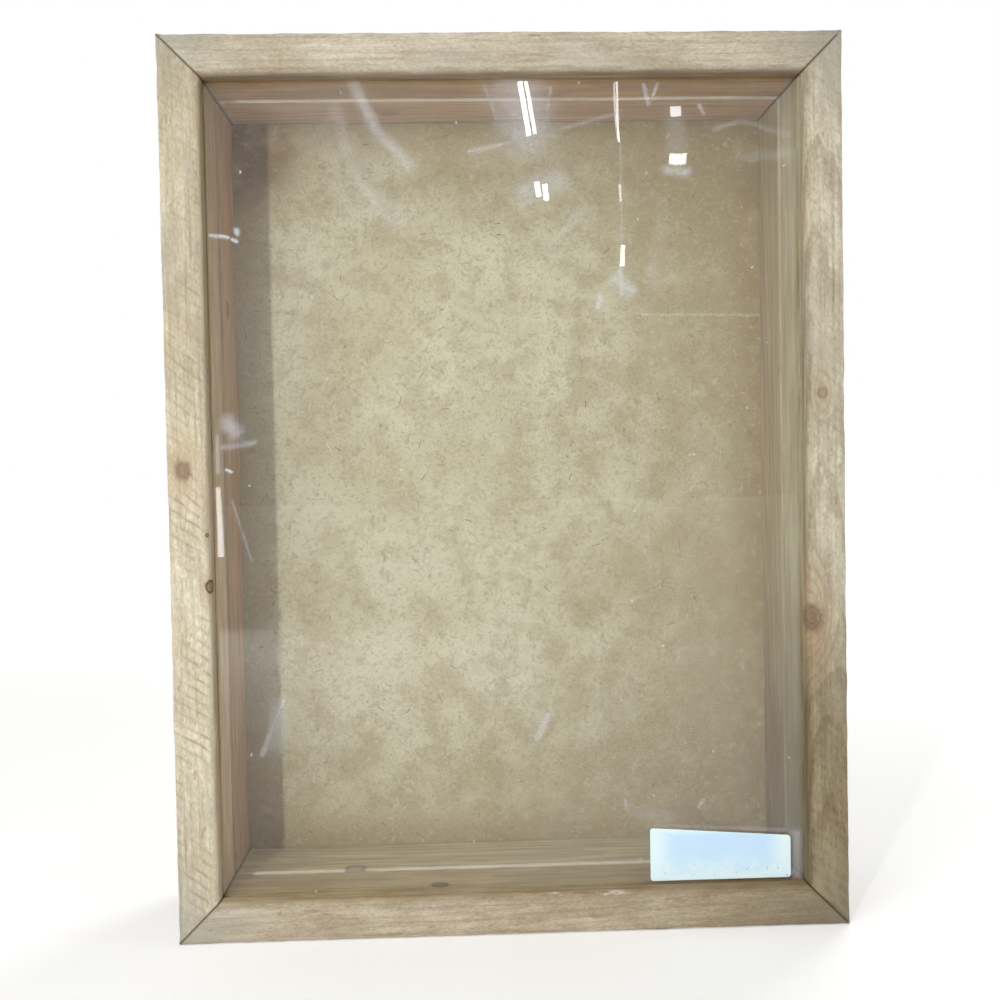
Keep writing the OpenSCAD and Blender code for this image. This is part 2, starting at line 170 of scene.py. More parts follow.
# Reflections of the ceiling strips in the clear sheet: the middle of each in the
# picture, its width and height there, its tilt in degrees and how brightly it glows
STRIP_LAMPS = (
    StripLamp("strip_tall", 217, 546, 4.5, 112, 0, 6.5),
    StripLamp("strip_bright", 523, 107, 5, 54, 9, 26),
    StripLamp("strip_bright_twin", 530, 107, 4, 50, 9, 20),
    StripLamp("strip_pair", 537, 190, 5, 14, 8, 24),
    StripLamp("strip_pair_twin", 545, 193, 5, 16, 8, 24),
    StripLamp("strip_thin", 620, 112, 1.6, 54, 0, 15),
    StripLamp("strip_faint", 619, 193, 2, 16, 0, 7),
    StripLamp("strip_low", 622, 256, 4, 20, 0, 10),
    StripLamp("strip_square", 676, 110, 10, 9, 0, 9),
    StripLamp("strip_wide", 678, 158, 17, 10, -3, 14),
)

# Lamps that light the case and show in no reflection: place, size and power. The
# first is the key, tall and narrow, so that its shadow is sharp from side to side
SOFT_LAMPS = (
    SoftLamp("key", (-0.38, -1.05, 0.36), 0.03, 0.34, 5.0),
    SoftLamp("soft_upper_left", (-0.62, -0.85, 0.92), 0.5, 0.5, 4.0),
    SoftLamp("soft_rear", (0.9, 1.3, 1.2), 0.8, 0.8, 14.0),
    SoftLamp("soft_right", (1.5, -0.3, 0.7), 0.7, 0.7, 3.0),
)

# Scuffs and smears on the clear sheet: both ends across and up, in millimetres,
# then the width and how white it is
STROKES = (
    Stroke((-66, 384), (-57, 364), 3.8, 0.12),
    Stroke((-57, 364), (-42, 348), 3.8, 0.1),
    Stroke((-75, 373), (-64, 339), 4.5, 0.04),
    Stroke((-64, 339), (-49, 323), 6.5, 0.05),
    Stroke((7, 382), (11, 364), 17, 0.14),
    Stroke((-8, 383), (-1, 366), 1.4, 0.1),
    Stroke((22, 382), (18, 363), 1.3, 0.12),
    Stroke((-15, 354), (8, 359), 1.8, 0.1),
    Stroke((8, 359), (53, 371), 1.5, 0.07),
    Stroke((5, 361), (14, 363), 3.0, 0.17),
    Stroke((10, 336), (25, 341), 8.0, 0.1),
    Stroke((64, 383), (66, 375), 1.4, 0.16),
    Stroke((70, 383), (68, 378), 1.2, 0.14),
    Stroke((53, 358), (53, 313), 1.0, 0.05),
    Stroke((50, 296), (57, 291), 4.0, 0.16),
    Stroke((52, 300), (53, 290), 2.2, 0.15),
    Stroke((42, 284), (43, 288), 2.0, 0.15),
    Stroke((78, 368), (79, 354), 7.0, 0.05),
    Stroke((74, 345), (83, 344), 3.4, 0.15),
    Stroke((89, 374), (91, 370), 1.1, 0.15),
    Stroke((96, 363), (108, 367), 1.6, 0.07),
    Stroke((108, 367), (130, 360), 1.6, 0.05),
    Stroke((61, 280), (116, 279), 0.8, 0.07),
    Stroke((108, 350), (132, 352), 3.5, 0.04),
    Stroke((-132, 318), (-124, 317), 1.1, 0.31),
    Stroke((-122, 316), (-120, 315), 1.1, 0.29),
    Stroke((-120, 320), (-120, 319), 1.7, 0.34),
    Stroke((-126, 234), (-123, 230), 5.0, 0.16),
    Stroke((-131, 228), (-131, 212), 1.4, 0.16),
    Stroke((-129, 223), (-114, 225), 2.0, 0.1),
    Stroke((-127, 213), (-125, 212), 1.1, 0.34),
    Stroke((-125, 199), (-117, 172), 0.8, 0.07),
    Stroke((-104, 108), (-114, 84), 2.2, 0.1),
    Stroke((-105, 106), (-108, 88), 6.5, 0.07),
    Stroke((11, 88), (16, 98), 2.4, 0.15),
    Stroke((51, 58), (51, 54), 1.2, 0.1),
    Stroke((57, 52), (70, 50), 5.0, 0.05),
    Stroke((85, 54), (87, 57), 1.2, 0.1),
    Stroke((130, 40), (130, 21), 3.2, 0.12),
    Stroke((62, 46), (127, 42), 1.4, 0.07),
    Stroke((-23, 292), (-30, 274), 2.6, 0.03),
    Stroke((36, 329), (20, 310), 2.8, 0.05),
    Stroke((62, 210), (64, 150), 1.6, 0.03),
    Stroke((72, 330), (66, 290), 5.0, 0.03),
)


def length(name, description, value):
    """A setting that is a length, given in metres."""
    return bpy.props.FloatProperty(name=name, description=description, default=value, unit="LENGTH")


class WoodSettings(bpy.types.PropertyGroup):
    arris: length("Arris", "Rounding of the long edges of the boards", 0.9 * MM)
    sight_arris: length("Sight edge", "Rounding of the edge next to the clear sheet", 2.2 * MM)
    groove_depth: length("Groove depth", "Depth of the groove that holds the clear sheet", 6.0 * MM)
    groove_play: length("Groove play", "Room on each face of the sheet in its groove", 0.1 * MM)
    mitre_gap: length("Mitre gap", "Open line between two boards at a corner", 0.19 * MM)
    ledge_arris: length("Ledge arris", "Rounding of the case's ledge behind the door", 0.22 * MM)
    cell: length("Cell", "Longest edge of the mesh across a board", 1.3 * MM)
    hollow: length("Hollow", "Depth of the slow unevenness of the faces", 0.22 * MM)
    wear: length("Edge wear", "Depth of the knocks along the edges", 0.5 * MM)


class StageSettings(bpy.types.PropertyGroup):
    eye: bpy.props.FloatVectorProperty(
        name="Eye", description="Place of the camera", subtype="TRANSLATION",
        default=(-0.02419, -0.61032, 0.21505), unit="LENGTH")
    turn: bpy.props.FloatVectorProperty(
        name="Turn", description="Tilt, roll and pan of the camera", subtype="EULER",
        default=[math.radians(a) for a in (88.159, 1.033, -2.074)])
    lens: bpy.props.FloatProperty(
        name="Lens", description="Focal length on a 36 mm wide sensor",
        default=44.46, unit="CAMERA")
    fill: bpy.props.FloatProperty(
        name="Fill", description="Strength of the even light from all round", default=0.40)
    floor_tone: bpy.props.FloatVectorProperty(
        name="Floor", description="Colour of the floor", subtype="COLOR",
        default=(0.86, 0.86, 0.85))


class CaseSettings(bpy.types.PropertyGroup):
    wood: bpy.props.PointerProperty(type=WoodSettings)
    stage: bpy.props.PointerProperty(type=StageSettings)


def settings():
    return bpy.context.scene.display_case


# Modelling helpers


def only(piece):
    """Makes the piece the one that is selected and active."""
    bpy.ops.object.select_all(action="DESELECT")
    piece.select_set(True)
    bpy.context.view_layer.objects.active = piece


def settle():
    """Puts the active piece's place, turn and size into its mesh."""
    bpy.ops.object.transform_apply(location=True, rotation=True, scale=True)


def edit(kind="FACE"):
    bpy.ops.object.mode_set(mode="EDIT")
    bpy.ops.mesh.select_mode(type=kind)
    bpy.ops.mesh.select_all(action="SELECT")


def leave():
    bpy.ops.object.mode_set(mode="OBJECT")


def pick(kind, test):
    """In edit mode, selects the vertices, edges or faces for which the test holds."""
    bpy.ops.mesh.select_mode(type={"verts": "VERT", "edges": "EDGE", "faces": "FACE"}[kind])
    bpy.ops.mesh.select_all(action="DESELECT")
    mesh = bmesh.from_edit_mesh(bpy.context.object.data)
    count = 0
    for item in getattr(mesh, kind):
        if test(item):
            item.select_set(True)
            count += 1
    mesh.select_flush_mode()
    bmesh.update_edit_mesh(bpy.context.object.data)
    return count


def cut(point, normal, **options):
    """Bisects the whole mesh in edit mode."""
    bpy.ops.mesh.select_all(action="SELECT")
    bpy.ops.mesh.bisect(plane_co=point, plane_no=normal, **options)


def subdivide_to(cell, test=lambda edge: True):
    """Halves the edges that pass the test until none is longer than the cell."""
    while pick("edges", lambda edge: edge.calc_length() > cell and test(edge)):
        bpy.ops.mesh.subdivide(number_cuts=1)


def apply(piece, kind, **values):
    """Adds a modifier and applies it."""
    only(piece)
    modifier = piece.modifiers.new(kind.lower(), kind)
    for key, value in values.items():
        setattr(modifier, key, value)
    bpy.ops.object.modifier_apply(modifier=modifier.name)


def weigh(piece, name, weight):
    """Vertex group from a function of a vertex's place."""
    group = piece.vertex_groups.new(name=name)
    for vertex in piece.data.vertices:
        value = weight(vertex.co)
        if value > 0:
            group.add([vertex.index], min(value, 1.0), "REPLACE")
    return name


def roughen(piece, strength, grain, seed, group="", contrast=1.0):
    """Sinks the piece's faces by noise whose grain is given along three axes."""
    texture = bpy.data.textures.new("relief", "CLOUDS")
    texture.noise_scale = 1.0
    texture.noise_depth = 2
    texture.contrast = contrast
    bpy.ops.object.empty_add(location=(0.37 * seed, 0.21 * seed, 0.13 * seed))
    space = bpy.context.object
    space.scale = grain
    bpy.context.view_layer.update()
    apply(piece, "DISPLACE", texture=texture, strength=strength, mid_level=1.0, vertex_group=group,
          texture_coords="OBJECT", texture_coords_object=space)
    bpy.data.objects.remove(space)
    bpy.data.textures.remove(texture)


def hand_over(piece, name, body, nodes, material, angle=40):
    """Names a finished piece, shades it and ties it to the frame."""
    only(piece)
    settle()
    bpy.ops.object.shade_smooth_by_angle(angle=math.radians(angle))
    piece.name = name
    piece.data.name = name
    piece.data.materials.clear()
    piece.data.materials.append(material)
    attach(piece, body)
    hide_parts(*nodes)


def body_of(node):
    return frame["nodes"][node]["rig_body"]


# Material helpers


class Graph:
    """Adds nodes to a node tree; values are numbers, colours or other outputs."""

    def __init__(self, tree):
        self.tree = tree

    def add(self, kind, inputs=None, **values):
        node = self.tree.nodes.new(kind)
        for key, value in values.items():
            setattr(node, key, value)
        for key, value in (inputs or {}).items():
            self.feed(node.inputs[key], value)
        return node

    def feed(self, socket, value):
        if isinstance(value, bpy.types.NodeSocket):
            self.tree.links.new(value, socket)
        elif socket.type == "RGBA" and len(value) == 3:
            socket.default_value = (*value, 1)
        else:
            socket.default_value = value

    def math(self, operation, first, second=0.0, clamp=False):
        return self.add("ShaderNodeMath", {0: first, 1: second},
                        operation=operation, use_clamp=clamp).outputs[0]

    def plus(self, first, second):
        return self.math("ADD", first, second)

    def minus(self, first, second):
        return self.math("SUBTRACT", first, second)

    def times(self, first, *factors):
        for factor in factors:
            first = self.math("MULTIPLY", first, factor)
        return first

    def vector(self, operation, first, second=(0, 0, 0)):
        node = self.add("ShaderNodeVectorMath", {0: first, 1: second}, operation=operation)
        return node.outputs["Value" if operation in ("LENGTH", "DOT_PRODUCT") else "Vector"]

    def scaled(self, vector, scale):
        return self.vector("MULTIPLY", vector, scale)

    def noise(self, vector, scale, detail=3.0, roughness=0.5, distortion=0.0):
        """Noise whose scale is one number, or one for each axis."""
        if isinstance(scale, tuple):
            vector = self.scaled(vector, scale)
            scale = 1.0
        return self.add("ShaderNodeTexNoise", {
            "Vector": vector, "Scale": scale, "Detail": detail,
            "Roughness": roughness, "Distortion": distortion}).outputs["Fac"]

    def smooth(self, value, low, high, start=0.0, end=1.0):
        return self.add("ShaderNodeMapRange", {
            "Value": value, "From Min": low, "From Max": high, "To Min": start, "To Max": end},
            interpolation_type="SMOOTHSTEP").outputs["Result"]

    def fall(self, value, low, high, top=1.0):
        return self.smooth(value, low, high, top, 0.0)

    def mix(self, factor, first, second, blend="MIX"):
        node = self.add("ShaderNodeMix", data_type="RGBA", blend_type=blend)
        self.feed(node.inputs[0], factor)
        self.feed(node.inputs[6], first)
        self.feed(node.inputs[7], second)
        return node.outputs[2]

    def tinted(self, colour, tint):
        return self.mix(1.0, colour, tint, "MULTIPLY")

    def layers(self, colour, rows):
        """Lays a tone over the colour where each value runs from one end to the other, up to an amount."""
        for value, start, end, amount, tone in rows:
            colour = self.mix(self.smooth(value, start, end, 0.0, amount), colour, tone)
        return colour

    def split(self, vector):
        return self.add("ShaderNodeSeparateXYZ", {0: vector}).outputs

    def join(self, x, y, z):
        return self.add("ShaderNodeCombineXYZ", {0: x, 1: y, 2: z}).outputs[0]

    def group(self, tree, **inputs):
        node = self.tree.nodes.new("ShaderNodeGroup")
        node.node_tree = tree
        for key, value in inputs.items():
            self.feed(node.inputs[key.replace("_", " ").capitalize()], value)
        return node.outputs


def new_group(name, inputs, outputs):
    """Shader group with a vector input, others that are numbers or, for None, vectors, and its outputs."""
    tree = bpy.data.node_groups.new(name, "ShaderNodeTree")
    for label, value in (("Vector", None), *inputs):
        kind = "NodeSocketVector" if value is None else "NodeSocketFloat"
        socket = tree.interface.new_socket(name=label, in_out="INPUT", socket_type=kind)
        if value is not None:
            socket.default_value = value
    for label in outputs:
        tree.interface.new_socket(name=label, in_out="OUTPUT", socket_type="NodeSocketFloat")
    graph = Graph(tree)
    return tree, graph, graph.add("NodeGroupInput").outputs, graph.add("NodeGroupOutput").inputs


def shared(name, build):
    """A node group, built the first time that it is asked for."""
    return bpy.data.node_groups.get(name) or build(name)


def build_figure(name):
    """Growth rings round a pith that lies along X, with fibres, blotches and pores."""
    tree, graph, given, result = new_group(
        name, (("Pith", None), ("Ring gap", 0.003), ("Bend", 0.0), ("Wander", 0.02)),
        ("Rings", "Fibres", "Blotches", "Pores"))
    place = given["Vector"]
    sway = graph.noise(place, (5, 14, 14), 2)
    jitter = graph.noise(place, (14, 160, 160), 2)
    rel = graph.split(graph.vector("SUBTRACT", place, given["Pith"]))
    across = graph.vector("LENGTH", graph.join(0, rel["Y"], rel["Z"]))
    radius = graph.plus(across, graph.times(rel["X"], 0.035))
    radius = graph.plus(radius, graph.times(sway, given["Wander"]))
    radius = graph.plus(radius, graph.times(jitter, 0.0012))
    radius = graph.plus(radius, given["Bend"])
    phase = graph.math("FRACT", graph.math("DIVIDE", radius, given["Ring gap"]))
    rise = graph.smooth(phase, 0.3, 0.9)
    fall = graph.fall(phase, 0.9, 1.0)
    graph.feed(result["Rings"], graph.times(rise, fall))
    graph.feed(result["Fibres"], graph.noise(place, (38, 1100, 1100), 3, 0.6))
    graph.feed(result["Blotches"], graph.noise(place, (26, 85, 85), 4, 0.62))
    pores = graph.noise(place, (150, 900, 900), 1)
    graph.feed(result["Pores"], graph.smooth(pores, 0.68, 0.78))
    return tree


def build_knot(name):
    """A round knot: its core, its dark rim, the stain about it and how it bends the rings."""
    tree, graph, given, result = new_group(
        name, (("Centre", None), ("Radius", 0.004)), ("Core", "Rim", "Stain", "Bend", "Lines"))
    away = graph.vector("SUBTRACT", given["Vector"], given["Centre"])
    ragged = graph.noise(given["Vector"], 420, 2)
    away = graph.scaled(away, (0.85, 1, 1))
    distance = graph.math("DIVIDE", graph.vector("LENGTH", away), given["Radius"])
    distance = graph.plus(distance, graph.times(graph.minus(ragged, 0.5), 0.5))
    graph.feed(result["Core"], graph.fall(distance, 0.7, 1.05))
    inner = graph.smooth(distance, 0.62, 0.92)
    graph.feed(result["Rim"], graph.times(inner, graph.fall(distance, 0.95, 1.35)))
    long_way = graph.vector("LENGTH", graph.scaled(away, (0.45, 1, 1)))
    reach = graph.math("DIVIDE", long_way, given["Radius"])
    graph.feed(result["Stain"], graph.fall(reach, 0.6, 2.8))
    push = graph.math("EXPONENT", graph.times(graph.times(reach, reach), -0.5))
    graph.feed(result["Bend"], graph.times(push, graph.times(given["Radius"], 1.5)))
    graph.feed(result["Lines"], graph.math("FRACT", graph.times(distance, 3.2)))
    return tree


def build_saw_marks(name):
    """Slanting marks of a band saw over the face, in uneven patches."""
    tree, graph, given, result = new_group(
        name, (("Pitch", 0.005), ("Slant", -0.75)), ("Lines", "Ridges"))
    place = given["Vector"]
    part = graph.split(place)
    along = graph.plus(part["X"], graph.times(part["Z"], given["Slant"]))
    drift = graph.noise(place, (24, 24, 24), 3)
    along = graph.plus(along, graph.times(drift, 0.012))
    turn = graph.times(graph.math("DIVIDE", along, given["Pitch"]), 2 * math.pi)
    wave = graph.times(graph.plus(graph.math("SINE", turn), 1), 0.5)
    patches = graph.smooth(graph.noise(place, (26, 70, 70), 3), 0.42, 0.62)
    broken = graph.smooth(graph.noise(place, (150, 110, 110), 3), 0.38, 0.62, 0.25, 1.0)
    lines = graph.times(graph.smooth(wave, 0.74, 0.98), broken)
    graph.feed(result["Lines"], graph.times(lines, patches))
    graph.feed(result["Ridges"], graph.times(wave, patches))
    return tree


def build_weathering(name):
    """Mottling, fine speckle, short dashes and dark spots of old bare wood, all along the grain."""
    tree, graph, given, result = new_group(
        name, (), ("Mottle", "Speckle", "Dashes", "Spots", "Streaks"))
    place = given["Vector"]
    graph.feed(result["Mottle"], graph.noise(place, (75, 190, 190), 6, 0.72))
    graph.feed(result["Speckle"], graph.noise(place, (520, 1050, 1050), 3, 0.65))
    dashes = graph.noise(place, (95, 640, 640), 3, 0.6)
    graph.feed(result["Dashes"], graph.smooth(dashes, 0.58, 0.72))
    spots = graph.noise(place, (120, 330, 330), 2)
    graph.feed(result["Spots"], graph.smooth(spots, 0.66, 0.74))
    graph.feed(result["Streaks"], graph.noise(place, (9, 480, 480), 4, 0.6))
    return tree


def build_flecks(name):
    """Short curved fibres scattered over a face that lies across Y, one in a share of the cells."""
    tree, graph, given, result = new_group(
        name, (("Cell", 0.01), ("Length", 0.003), ("Width", 0.0003), ("Share", 0.3)), ("Mask",))
    part = graph.split(given["Vector"])
    flat = graph.join(part["X"], part["Z"], 0)
    cells = graph.add("ShaderNodeTexVoronoi", {
        "Vector": flat, "Scale": graph.math("DIVIDE", 1.0, given["Cell"]), "Randomness": 1.0},
        voronoi_dimensions="2D", feature="F1")
    spot = cells.outputs["Position"]
    chance = graph.split(cells.outputs["Color"])
    offset = graph.vector("SUBTRACT", flat, spot)
    turned = graph.add("ShaderNodeVectorRotate", {
        "Vector": offset, "Angle": graph.times(chance["X"], 2 * math.pi)},
        rotation_type="Z_AXIS").outputs[0]
    axes = graph.split(turned)
    length = graph.times(given["Length"], graph.plus(chance["Y"], 0.25))
    run = graph.math("DIVIDE", axes["X"], length)
    curve = graph.times(graph.times(run, run), given["Width"])
    side = graph.math("DIVIDE", graph.plus(axes["Y"], curve), given["Width"])
    ends = graph.fall(graph.math("ABSOLUTE", run), 0.35, 0.55)
    edges = graph.fall(graph.math("ABSOLUTE", side), 0.3, 0.9)
    kept = graph.math("LESS_THAN", chance["Z"], given["Share"])
    graph.feed(result["Mask"], graph.times(graph.times(ends, edges), kept))
    return tree


def build_stroke(name):
    """A smear between two points of a face that lies across Y."""
    tree, graph, given, result = new_group(
        name, (("Start", None), ("End", None), ("Width", 0.001)), ("Mask",))
    part = graph.split(given["Vector"])
    flat = graph.join(part["X"], 0, part["Z"])
    arm = graph.vector("SUBTRACT", flat, given["Start"])
    line = graph.vector("SUBTRACT", given["End"], given["Start"])
    square = graph.vector("DOT_PRODUCT", line, line)
    share = graph.math("DIVIDE", graph.vector("DOT_PRODUCT", arm, line), square, clamp=True)
    foot = graph.vector("MULTIPLY", line, graph.join(share, share, share))
    gap = graph.vector("LENGTH", graph.vector("SUBTRACT", arm, foot))
    ragged = graph.noise(given["Vector"], 260, 4, 0.75)
    wide = graph.times(given["Width"], graph.times(ragged, 2.2))
    soft = graph.math("DIVIDE", gap, wide)
    graph.feed(result["Mask"], graph.fall(soft, 0.0, 1.1))
    return tree


def build_tarnish(name):
    """Dull patches and fine scratches on metal."""
    tree, graph, given, result = new_group(
        name, (("Size", 0.01),), ("Patches", "Scratches", "Grain"))
    place = given["Vector"]
    near = graph.math("DIVIDE", 1.0, given["Size"])
    patches = graph.noise(place, near, 4, 0.6)
    graph.feed(result["Patches"], graph.smooth(patches, 0.4, 0.68))
    lines = graph.noise(place, (700, 5200, 5200), 2)
    graph.feed(result["Scratches"], graph.smooth(lines, 0.56, 0.7))
    graph.feed(result["Grain"], graph.noise(place, 3800, 2))
    return tree


def start_material(name):
    material = bpy.data.materials.new(name)
    material.use_nodes = True
    material.node_tree.nodes.clear()
    graph = Graph(material.node_tree)
    shader = graph.add("ShaderNodeBsdfPrincipled")
    output = graph.add("ShaderNodeOutputMaterial")
    graph.tree.links.new(shader.outputs[0], output.inputs["Surface"])
    return material, graph, shader, output


def relief(graph, height, distance, strength=1.0):
    return graph.add("ShaderNodeBump", {
        "Height": height, "Distance": distance, "Strength": strength}).outputs[0]


def total(graph, values, operation="ADD"):
    """Folds a list of outputs into one by a math operation."""
    result = values[0]
    for value in values[1:]:
        result = graph.math(operation, result, value)
    return result


def lit(tone, share):
    """A tone made lighter or darker."""
    return [min(1, share * value) for value in tone]


def board_knots(name, matrix):
    """The knots of a board, each with its centre in the board's own axes."""
    for knot in KNOTS:
        if knot.board == name:
            x, depth, z = knot.spot
            yield knot, matrix.inverted() @ Vector((x * MM, DOOR.front + depth * MM, z * MM))


def placement(outline, side):
    """Matrix that takes a board made along the bottom to its side of the frame."""
    across = (0, -outline.width / 2, 0, outline.width / 2)[side]
    up = (0, outline.height / 2, outline.height, outline.height / 2)[side]
    return Matrix.Translation((across, 0, up)) @ Euler((0, side * math.pi / 2, 0)).to_matrix().to_4x4()


def wood_figure(wood):
    """Blotches, rings, long streaks, fibres and pores."""
    graph, finish, figure, worn = wood.graph, wood.finish, wood.figure, wood.worn
    colour = graph.mix(graph.smooth(figure["Blotches"], 0.36, 0.66), finish.light, finish.mid)
    colour = graph.mix(graph.times(figure["Rings"], finish.rings), colour, finish.dark)
    colour = graph.layers(colour, (
        (worn["Streaks"], 0.52, 0.68, 0.4, finish.dark),
        (worn["Streaks"], 0.46, 0.3, 0.3, lit(finish.light, 1.14)),
        (figure["Fibres"], 0.5, 0.75, 0.3, finish.dark)))
    return graph.mix(graph.times(figure["Pores"], 0.25), colour, finish.dark)


def wood_inner_face(wood, colour):
    """The smoother, pinker inner face, whose tint is partly painted shade, and a painted highlight on the
    case's ledge behind the door.
    """
    graph, finish = wood.graph, wood.finish
    # The inner face's tint is partly the wood's own pinker colour and partly painted shade
    tint = finish.inside
    # In front of the sheet the door's inner face takes its painted shade, darkest under the top rail
    if wood.front:
        behind = graph.smooth(wood.axes["Y"], SHEET_LOW.y - 1.2 * MM, SHEET_LOW.y)
        tint = graph.mix(behind, PAINTED_SIGHT_SHADES[wood.name], finish.inside)
    colour = graph.mix(wood.inside, colour, graph.tinted(colour, tint))
    # Painted highlight along the case's ledge behind the door, strong on the rails and faint on the stiles
    if not wood.front:
        strength = 0.1 if wood.side % 2 else 0.6
        ledge = graph.times(wood.near_face(0.3, 1.0), wood.near_opening(2, 1.3), strength)
        colour = graph.mix(ledge, colour, (0.93, 0.86, 0.76))
    return colour


def wood_weather(wood, colour, cloud):
    """Weathering of the front and the outer side, and a little of it on the inner face."""
    graph, finish, worn, outside = wood.graph, wood.finish, wood.worn, wood.outside
    mottle = graph.times(graph.smooth(worn["Mottle"], 0.46, 0.68), outside, 0.6)
    colour = graph.mix(mottle, colour, lit(finish.mid, 0.86))
    pale = graph.times(graph.smooth(worn["Mottle"], 0.46, 0.3), outside, 0.5)
    colour = graph.mix(pale, colour, lit(finish.light, 1.12))
    speckle = graph.times(graph.smooth(worn["Speckle"], 0.3, 0.72), graph.smooth(outside, 0, 1, 0.3, 0.8))
    colour = graph.mix(speckle, colour, graph.tinted(colour, (0.72, 0.68, 0.62)))
    dashes = graph.times(worn["Dashes"], graph.smooth(outside, 0, 1, 0.12, 0.42))
    colour = graph.mix(dashes, colour, finish.dark)
    spots = graph.times(worn["Spots"], graph.smooth(outside, 0, 1, 0.1, 0.45))
    colour = graph.mix(spots, colour, (0.22, 0.17, 0.12))
    grey = graph.times(graph.smooth(cloud, 0.48, 0.64), outside, 0.36)
    colour = graph.mix(grey, colour, (0.42, 0.39, 0.32))
    rust = graph.noise(graph.vector("ADD", wood.place, (0.7, 0, 0.3)), (30, 75, 75), 4, 0.6)
    rust = graph.times(graph.smooth(rust, 0.5, 0.64), 0.5 * finish.rust)
    return graph.mix(rust, colour, (0.50, 0.36, 0.20))


def wood_dirt_and_shade(wood, colour, cloud):
    """Green-grey dirt at the outer corners, dark dirt in the mitre, a dark band beside the sheet that is
    mostly painted shade and partly dirt, and painted shade towards one end.
    """
    graph, finish, axes = wood.graph, wood.finish, wood.axes
    to_end = graph.minus(wood.length / 2, graph.math("ABSOLUTE", axes["X"]))
    corner = graph.fall(graph.plus(to_end, graph.times(wood.worn["Mottle"], 0.03)), 0.015, 0.06, 0.55)
    corner = graph.times(corner, graph.smooth(axes["Z"], 0.002, wood.outline.thick, 1.0, 0.2))
    colour = graph.mix(corner, colour, (0.33, 0.335, 0.29))
    to_mitre = graph.minus(to_end, axes["Z"])
    colour = graph.mix(graph.fall(to_mitre, 0.0003, 0.0013, 0.6), colour, (0.11, 0.085, 0.06))
    # The dark band beside the sheet is mostly painted shade of the rounded sight edge and partly dirt
    if finish.band:
        to_sheet = graph.minus(wood.outline.thick, axes["Z"])
        ragged = graph.times(graph.minus(wood.worn["Mottle"], 0.5), 0.012)
        band = graph.fall(graph.plus(to_sheet, ragged), 1.6 * MM, 4.2 * MM, finish.band)
        band = graph.times(band, wood.near_face(1.5, 4))
        colour = graph.mix(band, colour, graph.tinted(colour, (0.60, 0.56, 0.48)))
    # Painted shade: the board darker towards one end, standing in for the light falling off along it
    if finish.shade:
        sign = 1 if finish.shade_to > finish.shade_from else -1
        way = graph.plus(graph.times(axes["X"], sign), graph.times(graph.minus(cloud, 0.5), 0.09))
        stain = graph.smooth(way, sign * finish.shade_from, sign * finish.shade_to, 0.0, finish.shade)
        colour = graph.mix(stain, colour, graph.tinted(colour, (0.52, 0.47, 0.38)))
    return colour


def wood_saw_marks(wood, colour, height):
    """Dark saw lines and shallow ridges on the front."""
    graph, finish = wood.graph, wood.finish
    face = graph.times(wood.near_face(0.8, 2.4), wood.outside)
    marks = graph.group(shared("saw_marks", build_saw_marks), vector=wood.place, pitch=0.0056, slant=-0.75)
    lines = graph.times(marks["Lines"], face, finish.saw, 0.62)
    colour = graph.mix(lines, colour, (0.30, 0.235, 0.15))
    ridges = graph.times(marks["Ridges"], face, finish.saw)
    colour = graph.mix(graph.times(ridges, 0.22), colour, (0.47, 0.38, 0.25))
    return colour, graph.plus(height, graph.times(ridges, -0.9))


def wood_torn_fibres(wood, colour):
    """Pale fibres where the arris beside the sheet is torn."""
    graph = wood.graph
    frayed = graph.math("ABSOLUTE", graph.minus(wood.axes["X"], TORN_MIDDLE))
    frayed = graph.fall(frayed, 0.018, 0.027)
    high = graph.times(wood.near_opening(2.8, 1.6), wood.near_face(1.2, 2.2))
    frayed = graph.times(frayed, high, graph.smooth(wood.worn["Mottle"], 0.44, 0.56), 0.7)
    return graph.mix(frayed, colour, (0.80, 0.74, 0.60))


def wood_knot(wood, colour, height, knot, group):
    """Stain, ringed core and dark rim of one knot."""
    graph = wood.graph
    stain = graph.times(group["Stain"], 0.4 * knot.dark)
    colour = graph.mix(stain, colour, (0.44, 0.29, 0.16))
    rings = graph.mix(group["Lines"], (0.15, 0.095, 0.06), (0.26, 0.17, 0.11))
    uneven = graph.smooth(wood.worn["Mottle"], 0.35, 0.6, 0.75, 1.0)
    colour = graph.mix(graph.times(group["Core"], uneven, 0.95 * knot.dark), colour, rings)
    colour = graph.mix(graph.times(group["Rim"], 0.9 * knot.rim), colour, (0.07, 0.045, 0.035))
    return colour, graph.minus(height, graph.times(group["Rim"], 0.6 * knot.rim))


